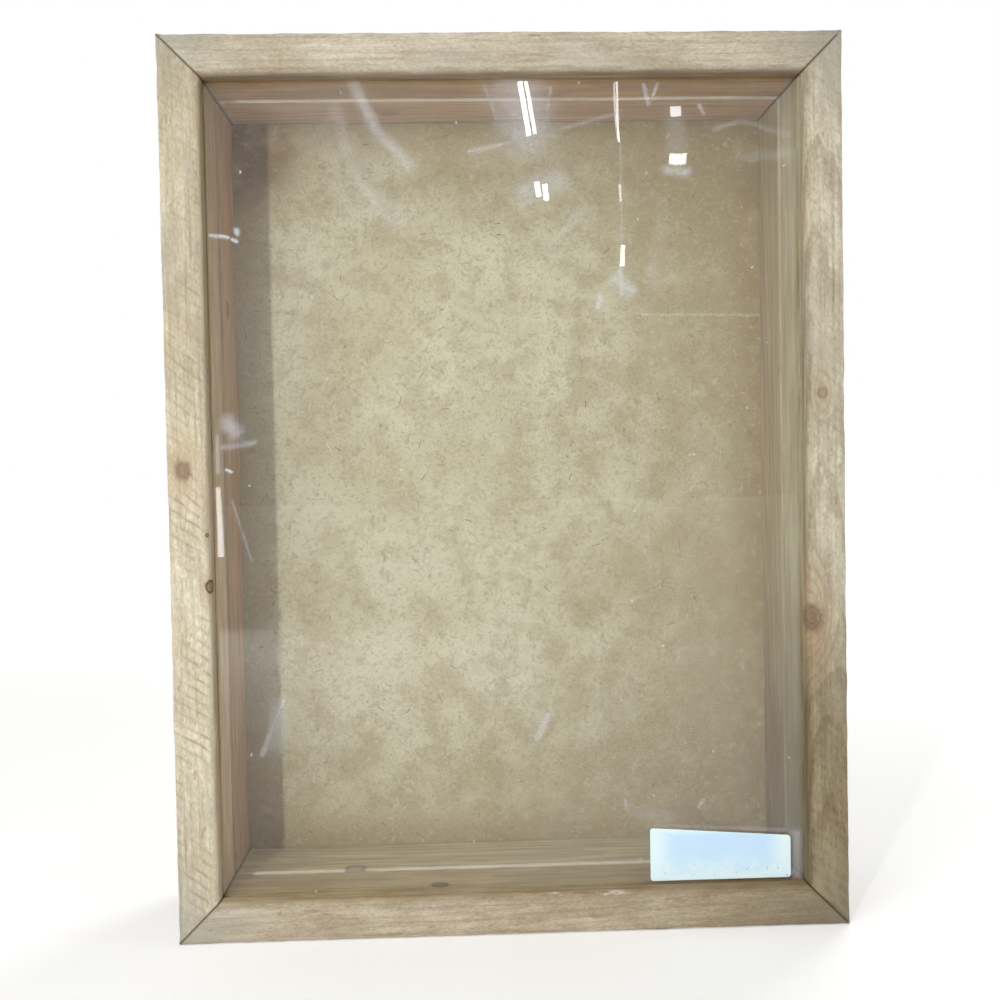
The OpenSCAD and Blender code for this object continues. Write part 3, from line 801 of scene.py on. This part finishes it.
class Wood:
    """What the layers of one board's pine share: its axes, figure, wear and masks."""

    def __init__(self, graph, name, outline, side, front):
        self.graph, self.name, self.outline = graph, name, outline
        self.side, self.front, self.finish = side, front, FINISHES[name]
        self.length = outline.width if side % 2 == 0 else outline.height
        matrix = placement(outline, side)
        world = graph.add("ShaderNodeTexCoord").outputs["Object"]
        local = graph.add("ShaderNodeMapping", {
            "Vector": world, "Location": matrix.to_translation(),
            "Rotation": (0, side * math.pi / 2, 0)}, vector_type="TEXTURE").outputs[0]
        self.axes = graph.split(local)
        self.knots = []
        for knot, centre in board_knots(name, matrix):
            group = graph.group(shared("knot", build_knot), vector=local, centre=centre,
                                radius=knot.radius * MM)
            self.knots.append((knot, group))
        bend = total(graph, [group["Bend"] for _, group in self.knots]) if self.knots else 0.0

        number = 1 + BOARDS.index(name.split("_", 1)[1])
        seed = Vector((0.31, 0.17, 0.11)) * number * (1 if front else 1.7)
        self.place = graph.vector("ADD", local, seed)
        self.figure = graph.group(
            shared("pine_figure", build_figure), vector=self.place, pith=Vector(self.finish.pith) + seed,
            ring_gap=self.finish.gap, bend=bend, wander=self.finish.wander)
        self.worn = graph.group(shared("weathering", build_weathering), vector=self.place)
        self.inside = self.near_opening(2.4, 0.7)
        self.outside = graph.minus(1.0, self.inside)

    def near_face(self, start, end):
        """1 at the front face, 0 from a depth on, both depths in millimetres."""
        front = self.outline.front
        return self.graph.fall(self.axes["Y"], front + start * MM, front + end * MM)

    def near_opening(self, start, end):
        """0 in the board and 1 at its inner face, both distances in millimetres."""
        thick = self.outline.thick
        return self.graph.smooth(self.axes["Z"], thick - start * MM, thick - end * MM)


def board_material(name, outline, side, front):
    """Weathered pine for one board; its knots and figure follow the board."""
    material, graph, shader, _ = start_material(name + "_pine")
    wood = Wood(graph, name, outline, side, front)
    cloud = graph.noise(wood.place, (16, 34, 34), 5, 0.65)
    colour = wood_inner_face(wood, wood_figure(wood))
    colour = wood_dirt_and_shade(wood, wood_weather(wood, colour, cloud), cloud)
    height = graph.times(wood.figure["Fibres"], 0.4)
    height = graph.plus(height, graph.times(wood.figure["Rings"], 0.3))
    height = graph.plus(height, graph.times(wood.worn["Speckle"], 0.5))
    if wood.finish.saw:
        colour, height = wood_saw_marks(wood, colour, height)
    if name == TORN_BOARD:
        colour = wood_torn_fibres(wood, colour)
    for knot, group in wood.knots:
        colour, height = wood_knot(wood, colour, height, knot, group)
    graph.feed(shader.inputs["Base Color"], colour)
    graph.feed(shader.inputs["Roughness"], graph.smooth(wood.figure["Fibres"], 0.3, 0.8, 0.62, 0.86))
    graph.feed(shader.inputs["Normal"], relief(graph, height, 0.00035, 0.7))
    shader.inputs["Specular IOR Level"].default_value = 0.28
    return material


def fibreboard_material():
    """Raw fibreboard: soft clouds, fine felted grain and scattered dark fibres, with painted shade away
    from the middle of its left half and along its edges, and a painted shadow in its upper left corner.
    """
    material, graph, shader, _ = start_material("fibreboard_raw")
    place = graph.add("ShaderNodeTexCoord").outputs["Object"]
    clouds = graph.noise(place, 16, 5, 0.6)
    patches = graph.noise(place, 60, 5, 0.65)
    felt = graph.noise(place, 300, 6, 0.75, 1.4)
    dust = graph.noise(place, 1300, 3, 0.7)
    axes = graph.split(place)
    colour = graph.mix(graph.smooth(clouds, 0.34, 0.68), (0.68, 0.65, 0.48), (0.57, 0.51, 0.33))
    # Painted shade: darker and browner away from the middle of its left half, where the light falls most
    painted_falloff = graph.vector("LENGTH", graph.join(
        graph.times(graph.plus(axes["X"], 0.055), 5.4),
        0, graph.times(graph.minus(axes["Z"], 0.215), 4.1)))
    painted_falloff = graph.plus(painted_falloff, graph.times(graph.minus(patches, 0.5), 0.9))
    colour = graph.mix(graph.smooth(painted_falloff, 0.35, 1.15, 0.0, 0.95), colour, (0.36, 0.28, 0.14))
    # Painted shade along all four edges, where the back meets the case's walls
    to_side = graph.minus(CASE.width / 2 - CASE.thick, graph.math("ABSOLUTE", axes["X"]))
    to_foot = graph.minus(CASE.height / 2 - CASE.thick, graph.math(
        "ABSOLUTE", graph.minus(axes["Z"], CASE.height / 2)))
    near = graph.math("MINIMUM", to_side, to_foot)
    near = graph.plus(near, graph.times(graph.minus(patches, 0.5), 0.03))
    colour = graph.mix(graph.fall(near, 0.0, 0.020, 0.55), colour, (0.28, 0.18, 0.07))
    # Painted shadow in the upper left corner, where the walls shade it from two lamps
    upper_left = graph.vector("LENGTH", graph.vector("SUBTRACT", place, (-0.128, BACK_LOW.y, 0.374)))
    upper_left = graph.plus(upper_left, graph.times(graph.minus(patches, 0.5), 0.02))
    colour = graph.mix(graph.fall(upper_left, 0.010, 0.042, 0.88), colour, (0.17, 0.08, 0.012))
    colour = graph.layers(colour, (
        (patches, 0.46, 0.62, 0.45, (0.45, 0.365, 0.21)),
        (felt, 0.48, 0.66, 0.62, (0.34, 0.26, 0.13)),
        (felt, 0.46, 0.3, 0.55, (0.71, 0.66, 0.48)),
        (dust, 0.5, 0.72, 0.5, (0.31, 0.23, 0.115)),
        (dust, 0.46, 0.3, 0.3, (0.75, 0.71, 0.54))))

    # Dark fibres: cell, length, width, share of the cells and strength
    fibres = (
        (0.019, 0.0040, 0.00030, 0.32, 0.9),
        (0.011, 0.0026, 0.00022, 0.35, 0.65),
        (0.0050, 0.0014, 0.00020, 0.35, 0.45),
    )
    for index, (cell, reach, width, share, strength) in enumerate(fibres):
        moved = graph.vector("ADD", place, (0.13 * index, 0, 0.29 * index))
        mask = graph.group(shared("flecks", build_flecks), vector=moved, cell=cell, length=reach,
                           width=width, share=share)["Mask"]
        colour = graph.mix(graph.times(mask, strength), colour, (0.17, 0.11, 0.055))
    pale = graph.group(shared("flecks", build_flecks), vector=graph.vector("ADD", place, (0.5, 0, 0.4)),
                       cell=0.006, length=0.0014, width=0.0002, share=0.4)["Mask"]
    colour = graph.mix(graph.times(pale, 0.4), colour, (0.69, 0.65, 0.50))

    # The cut edges are darker and rougher than the pressed faces
    rim = graph.smooth(graph.math("ABSOLUTE", axes["X"]), BACK_HIGH.x - 0.8 * MM, BACK_HIGH.x - 0.2 * MM)
    colour = graph.mix(graph.times(rim, 0.5), colour, (0.33, 0.24, 0.14))
    graph.feed(shader.inputs["Base Color"], colour)
    graph.feed(shader.inputs["Roughness"], graph.smooth(felt, 0.3, 0.7, 0.72, 0.88))
    graph.feed(shader.inputs["Normal"], relief(graph, graph.plus(felt, dust), 0.00012, 0.6))
    shader.inputs["Specular IOR Level"].default_value = 0.25
    return material


def sheet_material():
    """Clear acrylic with a slight wave, scuffs and smears; lamps shine through it."""
    material, graph, shader, output = start_material("acrylic_clear")
    place = graph.add("ShaderNodeTexCoord").outputs["Object"]
    smears = []
    for stroke in STROKES:
        start, end = [(x * MM, 0, z * MM) for x, z in (stroke.start, stroke.end)]
        mask = graph.group(shared("smear", build_stroke), vector=place, start=start, end=end,
                           width=stroke.width * MM)["Mask"]
        smears.append(graph.times(mask, stroke.strength))
    film = total(graph, smears, "MAXIMUM")
    hair = graph.group(shared("flecks", build_flecks), vector=place, cell=0.045, length=0.012,
                       width=0.0002, share=0.22)["Mask"]
    film = graph.math("MAXIMUM", film, graph.times(hair, 0.13))
    speck = graph.group(shared("flecks", build_flecks), vector=graph.vector("ADD", place, (0.4, 0, 0.2)),
                        cell=0.022, length=0.0012, width=0.0006, share=0.22)["Mask"]
    film = graph.math("MAXIMUM", film, graph.times(speck, 0.3))
    haze = graph.noise(place, (9, 9, 5), 3)
    grain = graph.noise(place, 900, 3, 0.7)
    film = graph.times(film, graph.smooth(grain, 0.32, 0.66, 0.45, 1.35))
    film = graph.math("ADD", film, graph.smooth(haze, 0.45, 0.75, 0.0, 0.025), clamp=True)

    wave = graph.noise(place, (26, 26, 9), 1)
    graph.feed(shader.inputs["Base Color"], (0.985, 0.99, 0.985))
    graph.feed(shader.inputs["Roughness"], graph.smooth(haze, 0.3, 0.8, 0.0, 0.02))
    graph.feed(shader.inputs["Normal"], relief(graph, wave, 0.0009, 0.10))
    shader.inputs["IOR"].default_value = 1.49
    shader.inputs["Transmission Weight"].default_value = 1.0
    dusty = graph.add("ShaderNodeBsdfPrincipled", {"Base Color": (0.84, 0.88, 0.98), "Roughness": 0.5})
    veiled = graph.add("ShaderNodeMixShader", {0: film, 1: shader.outputs[0], 2: dusty.outputs[0]})
    clear = graph.add("ShaderNodeBsdfTransparent", {"Color": (0.93, 0.94, 0.93)})
    path = graph.add("ShaderNodeLightPath")
    let_through = graph.math("MAXIMUM", path.outputs["Is Shadow Ray"], path.outputs["Is Diffuse Ray"])
    mixed = graph.add("ShaderNodeMixShader", {0: let_through, 1: veiled.outputs[0], 2: clear.outputs[0]})
    graph.tree.links.new(mixed.outputs[0], output.inputs["Surface"])
    return material


def label_material():
    """Blank label paper, a little brighter along its edges, with a few worn specks."""
    material, graph, shader, _ = start_material("label_blank")
    place = graph.add("ShaderNodeTexCoord").outputs["Object"]
    axes = graph.split(place)
    middle = (LABEL_LOW + LABEL_HIGH) / 2
    half = (LABEL_HIGH - LABEL_LOW) / 2
    x_share = graph.math("ABSOLUTE", graph.math("DIVIDE", graph.minus(axes["X"], middle.x), half.x))
    z_share = graph.math("ABSOLUTE", graph.math("DIVIDE", graph.minus(axes["Z"], middle.z), half.z))
    edge = graph.smooth(graph.math("MAXIMUM", x_share, z_share), 0.6, 0.95)
    clouds = graph.noise(place, 70, 3, 0.6)
    tone = graph.mix(edge, (0.58, 0.79, 1.0), (0.80, 0.97, 1.0))
    low = graph.smooth(axes["Z"], LABEL_LOW.z + 4 * MM, LABEL_LOW.z + 15 * MM, 0.75, 0.1)
    tone = graph.mix(graph.times(graph.smooth(clouds, 0.36, 0.62, 0.3, 1.0), low), tone, (0.78, 0.96, 1.0))
    fibres = graph.noise(place, 1500, 3, 0.6)
    tone = graph.mix(graph.smooth(fibres, 0.5, 0.75, 0.0, 0.15), tone, (0.55, 0.66, 0.76))
    speck = graph.group(shared("flecks", build_flecks), vector=place, cell=0.0036, length=0.0011,
                        width=0.00035, share=0.4)["Mask"]
    rubbed = graph.fall(axes["Z"], LABEL_LOW.z + 4 * MM, LABEL_LOW.z + 10 * MM, 0.7)
    tone = graph.mix(graph.times(speck, rubbed), tone, (0.33, 0.40, 0.46))
    graph.feed(shader.inputs["Base Color"], tone)
    graph.feed(shader.inputs["Roughness"], graph.smooth(clouds, 0.3, 0.7, 0.42, 0.55))
    graph.feed(shader.inputs["Normal"], relief(graph, fibres, 0.00004, 0.5))
    return material


def metal_material(name, bright, dull, roughness, size):
    """Metal with dull patches, scratches and grain."""
    material, graph, shader, _ = start_material(name)
    place = graph.add("ShaderNodeTexCoord").outputs["Object"]
    worn = graph.group(shared("tarnish", build_tarnish), vector=place, size=size)
    colour = graph.mix(graph.times(worn["Patches"], 0.8), bright, dull)
    colour = graph.mix(graph.times(worn["Scratches"], 0.35), colour, lit(dull, 0.7))
    graph.feed(shader.inputs["Base Color"], colour)
    rough = graph.plus(graph.times(worn["Patches"], 0.25), roughness)
    graph.feed(shader.inputs["Roughness"], graph.plus(rough, graph.times(worn["Scratches"], 0.1)))
    height = graph.minus(worn["Grain"], graph.times(worn["Scratches"], 0.8))
    graph.feed(shader.inputs["Normal"], relief(graph, height, 0.00003, 0.5))
    shader.inputs["Metallic"].default_value = 1.0
    return material


# Pieces


def board_profile(outline, grooved):
    """Outline of a board's section as a closed ring of edges, at its left end."""
    wood = settings().wood
    start = -(outline.width + outline.height) / 2
    bpy.ops.object.select_all(action="DESELECT")
    bpy.ops.mesh.primitive_plane_add(
        size=1, rotation=(0, math.pi / 2, 0),
        location=(start, (outline.front + outline.back) / 2, outline.thick / 2))
    board = bpy.context.object
    board.scale = (outline.thick, outline.back - outline.front, 1)
    settle()
    edit()
    if grooved:
        low = SHEET_LOW.y - wood.groove_play
        high = SHEET_HIGH.y + wood.groove_play
        floor = outline.thick - wood.groove_depth
        cut((0, low, 0), (0, 1, 0))
        cut((0, high, 0), (0, 1, 0))
        cut((0, 0, floor), (0, 0, 1))
        pick("faces", lambda face: low < face.calc_center_median().y < high
             and face.calc_center_median().z > floor)
        bpy.ops.mesh.delete(type="FACE")
        bpy.ops.mesh.select_all(action="SELECT")
        bpy.ops.mesh.dissolve_faces()

    def at_corner(vertex, front, top):
        return (abs(vertex.co.y - (outline.front if front else outline.back)) < 1e-6
                and abs(vertex.co.z - (outline.thick if top else 0)) < 1e-6)

    for front, top in ((True, True), (True, False), (False, True), (False, False)):
        radius = wood.arris
        if front and top:
            radius = wood.sight_arris if grooved else wood.ledge_arris
        pick("verts", lambda vertex: at_corner(vertex, front, top))
        bpy.ops.mesh.bevel(offset=radius, segments=6 if radius > wood.arris else 4, affect="VERTICES")
    bpy.ops.mesh.select_all(action="SELECT")
    bpy.ops.mesh.delete(type="ONLY_FACE")
    subdivide_to(wood.cell)
    leave()
    return board


def cut_mitres(length):
    """Cuts both ends of the swept board to 45 degrees and eases their rims."""
    half = length / 2 - settings().wood.mitre_gap / math.sqrt(2)
    for sign in (-1, 1):
        normal = Vector((sign, 0, 1)).normalized()
        cut((sign * half, 0, 0), normal, clear_outer=True, use_fill=True)
    bpy.ops.mesh.select_all(action="SELECT")
    bpy.ops.mesh.remove_doubles(threshold=MERGE)
    bpy.ops.mesh.normals_make_consistent(inside=False)

    def is_cap(face):
        return abs(abs(face.normal.x) - math.sqrt(0.5)) < 0.01 and face.normal.z > 0.7

    pick("edges", lambda edge: sum(is_cap(face) for face in edge.link_faces) == 1)
    bpy.ops.mesh.bevel(offset=0.16 * MM, segments=2, affect="EDGES")


def nail_spots(node, side, outline):
    """Where nails of a node enter this board from its outer side."""
    spots = []
    mesh = frame["nodes"][node].data
    low = min(vertex.co.z for vertex in mesh.vertices)
    high = max(vertex.co.z for vertex in mesh.vertices)
    depth = sorted(vertex.co.y for vertex in mesh.vertices)
    radius = 1.2 * MM
    for z in (low + radius, high - radius):
        for y in (depth[0] + radius, depth[-1] - radius):
            spots.append(Vector((math.copysign(outline.width / 2, side - 2), y, z)))
    return spots


def drill(board, node, side, outline):
    """Sinks a small hole over the head of each corner nail."""
    bpy.ops.object.select_all(action="DESELECT")
    bits = []
    for spot in nail_spots(node, side, outline):
        bpy.ops.mesh.primitive_cylinder_add(
            vertices=24, radius=1.3 * MM, depth=2 * MM, location=spot, rotation=(0, math.pi / 2, 0))
        bits.append(bpy.context.object)
    for bit in bits:
        bit.select_set(True)
    bpy.ops.object.join()
    tool = bpy.context.object
    settle()
    apply(board, "BOOLEAN", operation="DIFFERENCE", object=tool, solver="EXACT")
    bpy.data.objects.remove(tool)


def hold_inside(piece, node):
    """Keeps every point of the piece inside the box of its CAD node."""
    low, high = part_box(node)
    for vertex in piece.data.vertices:
        for axis in range(3):
            vertex.co[axis] = min(max(vertex.co[axis], low[axis]), high[axis])


def make_board(prefix, outline, side):
    """One board: its section is swept, mitred, turned to its place, worn and given its pine."""
    name = prefix + "_" + BOARDS[side]
    wood = settings().wood
    grooved = prefix == "door"
    length = outline.width if side % 2 == 0 else outline.height
    board = board_profile(outline, grooved)
    sweep = outline.width + outline.height
    steps = int(sweep / (1.35 * wood.cell))
    apply(board, "SCREW", axis="X", angle=0, screw_offset=sweep, steps=steps, render_steps=steps)
    edit()
    cut_mitres(length)
    leave()

    seed = 1 + side + (0 if grooved else len(BOARDS))
    middle = (outline.front + outline.back) / 2
    half = (outline.back - outline.front) / 2

    def body_weight(point):
        """Nothing at the mitres, so that the corners stay closed."""
        return min(1, max(0, length / 2 - abs(point.x) - point.z - 0.2 * MM) / (3 * MM))

    def arris_weight(point):
        to_face = half - abs(point.y - middle)
        to_edge = min(point.z, outline.thick - point.z)
        return max(0, 1 - max(to_face, to_edge) / (3.2 * MM)) * body_weight(point)

    body = weigh(board, "body", body_weight)
    roughen(board, wood.hollow, (0.06, 0.014, 0.014), seed, group=body)
    roughen(board, 0.10 * MM, (0.018, 0.0016, 0.0016), seed + 20, group=body)
    arris = weigh(board, "arris", arris_weight)
    roughen(board, wood.wear, (0.012, 0.005, 0.005), seed + 40, group=arris, contrast=1.8)
    matrix = placement(outline, side)
    for knot, centre in board_knots(name, matrix):
        reach = knot.radius * MM
        dent = weigh(board, "knot", lambda point: 1 - ((point - centre).length / reach) ** 2)
        apply(board, "DISPLACE", strength=-0.3 * MM * knot.dark, mid_level=0.0, vertex_group=dent)
        board.vertex_groups.remove(board.vertex_groups[dent])
    if name == TORN_BOARD:
        def torn_weight(point):
            along = max(0, 1 - abs(point.x - TORN_MIDDLE) / (26 * MM))
            deep = max(abs(point.y - outline.front), abs(outline.thick - point.z))
            return min(along * 2, 1) * max(0, 1 - deep / (4 * MM))
        torn = weigh(board, "torn", torn_weight)
        roughen(board, 1.1 * MM, (0.007, 0.0015, 0.0015), 77, group=torn, contrast=2.0)
    only(board)
    board.matrix_world = matrix
    settle()
    hold_inside(board, name)
    if side % 2 == 1:
        drill(board, prefix + "_corner_nails", side, outline)
    hand_over(board, name + "_wood", body_of(name), [name],
              board_material(name, outline, side, grooved))


def plain_block(low, high, bevel, cell):
    """A block between two corners with rounded edges, cut into cells on its large faces."""
    bpy.ops.object.select_all(action="DESELECT")
    bpy.ops.mesh.primitive_cube_add(size=1, location=(low + high) / 2)
    block = bpy.context.object
    block.scale = high - low
    settle()
    edit("EDGE")
    bpy.ops.mesh.bevel(offset=bevel, segments=2, affect="EDGES")
    size = high - low
    for axis in (0, 2):
        normal = [0, 0, 0]
        normal[axis] = 1
        count = int(size[axis] / cell)
        for step in range(1, count):
            point = list(low)
            point[axis] += size[axis] * step / count
            cut(point, normal)
    leave()
    return block


def softened(node, material, width):
    """A copy of a small CAD part with its edges eased, in its place."""
    source = frame["nodes"][node]
    bpy.ops.object.select_all(action="DESELECT")
    piece = bpy.data.objects.new(node + "_eased", source.data.copy())
    bpy.context.scene.collection.objects.link(piece)
    only(piece)
    edit("VERT")
    bpy.ops.mesh.remove_doubles(threshold=MERGE)
    bpy.ops.mesh.dissolve_limited(angle_limit=math.radians(1))
    leave()
    apply(piece, "BEVEL", width=width, segments=2, limit_method="ANGLE",
          angle_limit=math.radians(38), use_clamp_overlap=True)
    edit("VERT")
    bpy.ops.mesh.remove_doubles(threshold=MERGE)
    leave()
    hand_over(piece, node + "_eased", body_of(node), [node], material, 35)
    return piece


class CASE_OT_door_boards(bpy.types.Operator):
    """Makes the four grooved boards of the door frame"""
    bl_idname = "display_case.door_boards"
    bl_label = "Door boards"

    def execute(self, context):
        for side in range(len(BOARDS)):
            make_board("door", DOOR, side)
        return {"FINISHED"}


class CASE_OT_case_boards(bpy.types.Operator):
    """Makes the four boards of the case frame"""
    bl_idname = "display_case.case_boards"
    bl_label = "Case boards"

    def execute(self, context):
        for side in range(len(BOARDS)):
            make_board("case", CASE, side)
        return {"FINISHED"}


class CASE_OT_back(bpy.types.Operator):
    """Makes the fibreboard back, with slightly uneven faces"""
    bl_idname = "display_case.back"
    bl_label = "Fibreboard back"

    def execute(self, context):
        back = plain_block(BACK_LOW, BACK_HIGH, 0.5 * MM, 7 * MM)
        roughen(back, 0.4 * MM, (0.12, 0.5, 0.12), 5)
        hand_over(back, "back_board", body_of("back_panel"), ["back_panel"],
                  fibreboard_material())
        return {"FINISHED"}


class CASE_OT_sheet(bpy.types.Operator):
    """Makes the clear sheet of the door"""
    bl_idname = "display_case.sheet"
    bl_label = "Clear sheet"

    def execute(self, context):
        sheet = plain_block(SHEET_LOW, SHEET_HIGH, 0.25 * MM, 6 * MM)
        hand_over(sheet, "clear_sheet_panel", body_of("glazing_panel"), ["glazing_panel"],
                  sheet_material())
        return {"FINISHED"}


class CASE_OT_label(bpy.types.Operator):
    """Makes the blank label on the sheet, cut out of square"""
    bl_idname = "display_case.label"
    bl_label = "Blank label"

    corner: length("Corner", "Rounding of the corners of the label", 1.4 * MM)
    drop: length("Drop", "How much lower the right end of the top edge is", 5.0 * MM)

    def execute(self, context):
        bpy.ops.object.select_all(action="DESELECT")
        middle = (LABEL_LOW + LABEL_HIGH) / 2
        bpy.ops.mesh.primitive_plane_add(
            size=1, rotation=(math.pi / 2, 0, 0), location=(middle.x, LABEL_HIGH.y, middle.z))
        label = context.object
        label.scale = (LABEL_HIGH.x - LABEL_LOW.x, LABEL_HIGH.z - LABEL_LOW.z, 1)
        settle()
        edit()
        pick("verts", lambda vertex: vertex.co.x > middle.x and vertex.co.z > middle.z)
        bpy.ops.transform.translate(value=(0, 0, -self.drop))
        bpy.ops.mesh.select_all(action="SELECT")
        bpy.ops.mesh.bevel(offset=self.corner, segments=5, affect="VERTICES")
        for step in range(1, 26):
            x = LABEL_LOW.x + (LABEL_HIGH.x - LABEL_LOW.x) * step / 26
            cut((x, 0, 0), (1, 0, 0))
        for step in range(1, 9):
            z = LABEL_LOW.z + (LABEL_HIGH.z - LABEL_LOW.z) * step / 9
            cut((0, 0, z), (0, 0, 1))
        leave()
        apply(label, "SOLIDIFY", thickness=LABEL_HIGH.y - LABEL_LOW.y, offset=1.0)
        edit()
        bpy.ops.mesh.normals_make_consistent(inside=False)
        leave()
        hand_over(label, "blank_label", body_of("label_sticker"), ["label_sticker"],
                  label_material(), 30)
        return {"FINISHED"}


class CASE_OT_fittings(bpy.types.Operator):
    """Eases the edges of the hinges, latch, hanger, screws and nails and gives them their metal"""
    bl_idname = "display_case.fittings"
    bl_label = "Hinges, latch, hanger and nails"

    def execute(self, context):
        brass = metal_material("brass_aged", (0.72, 0.54, 0.25), (0.38, 0.26, 0.12), 0.28, 0.007)
        pin_brass = metal_material("brass_pin", (0.78, 0.60, 0.30), (0.42, 0.30, 0.15), 0.22, 0.004)
        zinc = metal_material("steel_zinc", (0.62, 0.62, 0.60), (0.40, 0.40, 0.39), 0.34, 0.006)
        dark = metal_material("steel_dark", (0.30, 0.29, 0.28), (0.16, 0.13, 0.11), 0.45, 0.003)
        for node in frame["nodes"]:
            if node.startswith("hinge_pin"):
                softened(node, pin_brass, 0.35 * MM)
            elif node.startswith(("hinge_", "latch_")):
                softened(node, brass, 0.14 * MM)
            elif node in ("sawtooth_hanger", "hanger_nails", "back_panel_nails"):
                softened(node, zinc, 0.12 * MM)
            elif node.endswith("corner_nails"):
                softened(node, dark, 0.12 * MM)
        return {"FINISHED"}


def lamp(name, place, target, width, height, power, tilt=0.0, seen=True):
    """Rectangular lamp at a place, facing a target."""
    light = bpy.data.lights.new(name, "AREA")
    light.shape = "RECTANGLE"
    light.size = width
    light.size_y = height
    light.energy = power
    holder = bpy.data.objects.new(name, light)
    bpy.context.scene.collection.objects.link(holder)
    facing = (Vector(target) - Vector(place)).to_track_quat("-Z", "Y")
    holder.rotation_euler = (facing @ Euler((0, 0, math.radians(tilt))).to_quaternion()).to_euler()
    holder.location = place
    holder.visible_camera = False
    holder.visible_glossy = seen
    return holder


def mirrored_place(camera, column, row, distance):
    """Where a lamp must be for the sheet to reflect it at a point of the picture."""
    focal = PICTURE * camera.data.lens / camera.data.sensor_width
    ray = camera.matrix_world.to_3x3() @ Vector((
        (column - PICTURE / 2) / focal, (PICTURE / 2 - row) / focal, -1))
    ray.normalize()
    eye = camera.matrix_world.to_translation()
    hit = eye + ray * ((SHEET_LOW.y - eye.y) / ray.y)
    back = Vector((ray.x, -ray.y, ray.z))
    return hit + back * distance, hit, ((hit - eye).length + distance) / focal


class CASE_OT_stage(bpy.types.Operator):
    """Sets the camera, the lamps, the pale floor and the white surroundings"""
    bl_idname = "display_case.stage"
    bl_label = "Camera, lamps and floor"

    lamp_distance: length("Lamp distance", "Distance of the ceiling strips from the sheet", 2.4)

    def execute(self, context):
        stage = settings().stage
        scene = context.scene
        camera = bpy.data.objects.new("camera", bpy.data.cameras.new("camera"))
        scene.collection.objects.link(camera)
        camera.location = stage.eye
        camera.rotation_euler = stage.turn
        camera.data.lens = stage.lens
        camera.data.sensor_width = SENSOR
        scene.camera = camera
        context.view_layer.update()

        for strip in STRIP_LAMPS:
            place, hit, pixel = mirrored_place(camera, strip.column, strip.row, self.lamp_distance)
            width, height = strip.width * pixel, strip.height * pixel
            power = strip.glow * math.pi * width * height
            lamp(strip.name, place, hit, width, height, power, strip.tilt)
        middle = (0, DOOR.front, CASE.height / 2)
        for soft in SOFT_LAMPS:
            lamp(soft.name, soft.place, middle, soft.width, soft.height, soft.power, seen=False)

        self.surroundings(scene, stage)
        self.floor(stage)
        scene.view_settings.view_transform = "Standard"
        return {"FINISHED"}

    def surroundings(self, scene, stage):
        """White to the camera and in glass and metal, and an even fill for the rest."""
        world = bpy.data.worlds.new("surroundings")
        world.use_nodes = True
        world.node_tree.nodes.clear()
        graph = Graph(world.node_tree)
        path = graph.add("ShaderNodeLightPath")
        seen = total(graph, [path.outputs[kind] for kind in SEEN_RAYS], "MAXIMUM")
        strength = graph.math("MAXIMUM", seen, stage.fill)
        sky = graph.add("ShaderNodeBackground", {"Color": (1.0, 1.0, 1.0), "Strength": strength})
        output = graph.add("ShaderNodeOutputWorld")
        graph.tree.links.new(sky.outputs[0], output.inputs["Surface"])
        scene.world = world

    def floor(self, stage):
        """Large pale floor that keeps the shadow of the case."""
        bpy.ops.object.select_all(action="DESELECT")
        bpy.ops.mesh.primitive_plane_add(size=12, location=(0, 0, -0.0002))
        floor = bpy.context.object
        floor.name = "floor"
        material, graph, shader, _ = start_material("floor_pale")
        place = graph.add("ShaderNodeTexCoord").outputs["Object"]
        mottle = graph.noise(place, 9, 3)
        tone = graph.mix(graph.smooth(mottle, 0.3, 0.7), stage.floor_tone, lit(stage.floor_tone, 0.985))
        graph.feed(shader.inputs["Base Color"], tone)
        shader.inputs["Roughness"].default_value = 0.8
        shader.inputs["Emission Color"].default_value = (1, 1, 1, 1)
        path = graph.add("ShaderNodeLightPath")
        seen = total(graph, [path.outputs[kind] for kind in SEEN_RAYS], "MAXIMUM")
        far = graph.smooth(graph.vector("LENGTH", place), 0.4, 2.2, 0.30, 0.75)
        graph.feed(shader.inputs["Emission Strength"], graph.times(seen, far))
        floor.data.materials.append(material)


class CASE_PT_panel(bpy.types.Panel):
    """Lists the steps in the order in which they run"""
    bl_idname = "CASE_PT_panel"
    bl_label = "Display case"
    bl_space_type = "VIEW_3D"
    bl_region_type = "UI"
    bl_category = "Display case"

    def draw(self, context):
        for step in STEPS:
            self.layout.operator(step.bl_idname)
        for group in (settings().wood, settings().stage):
            for name in group.__annotations__:
                self.layout.prop(group, name)


STEPS = (
    CASE_OT_stage, CASE_OT_case_boards, CASE_OT_back, CASE_OT_door_boards,
    CASE_OT_sheet, CASE_OT_label, CASE_OT_fittings,
)
CLASSES = (WoodSettings, StageSettings, CaseSettings) + STEPS + (CASE_PT_panel,)


def register():
    for item in CLASSES:
        bpy.utils.register_class(item)
    bpy.types.Scene.display_case = bpy.props.PointerProperty(type=CaseSettings)


def unregister():
    del bpy.types.Scene.display_case
    for item in reversed(CLASSES):
        bpy.utils.unregister_class(item)


def main():
    register()
    bpy.ops.display_case.stage()
    bpy.ops.display_case.case_boards()
    bpy.ops.display_case.back()
    bpy.ops.display_case.door_boards()
    bpy.ops.display_case.sheet()
    bpy.ops.display_case.label()
    bpy.ops.display_case.fittings()


if __name__ == "__main__":
    main()
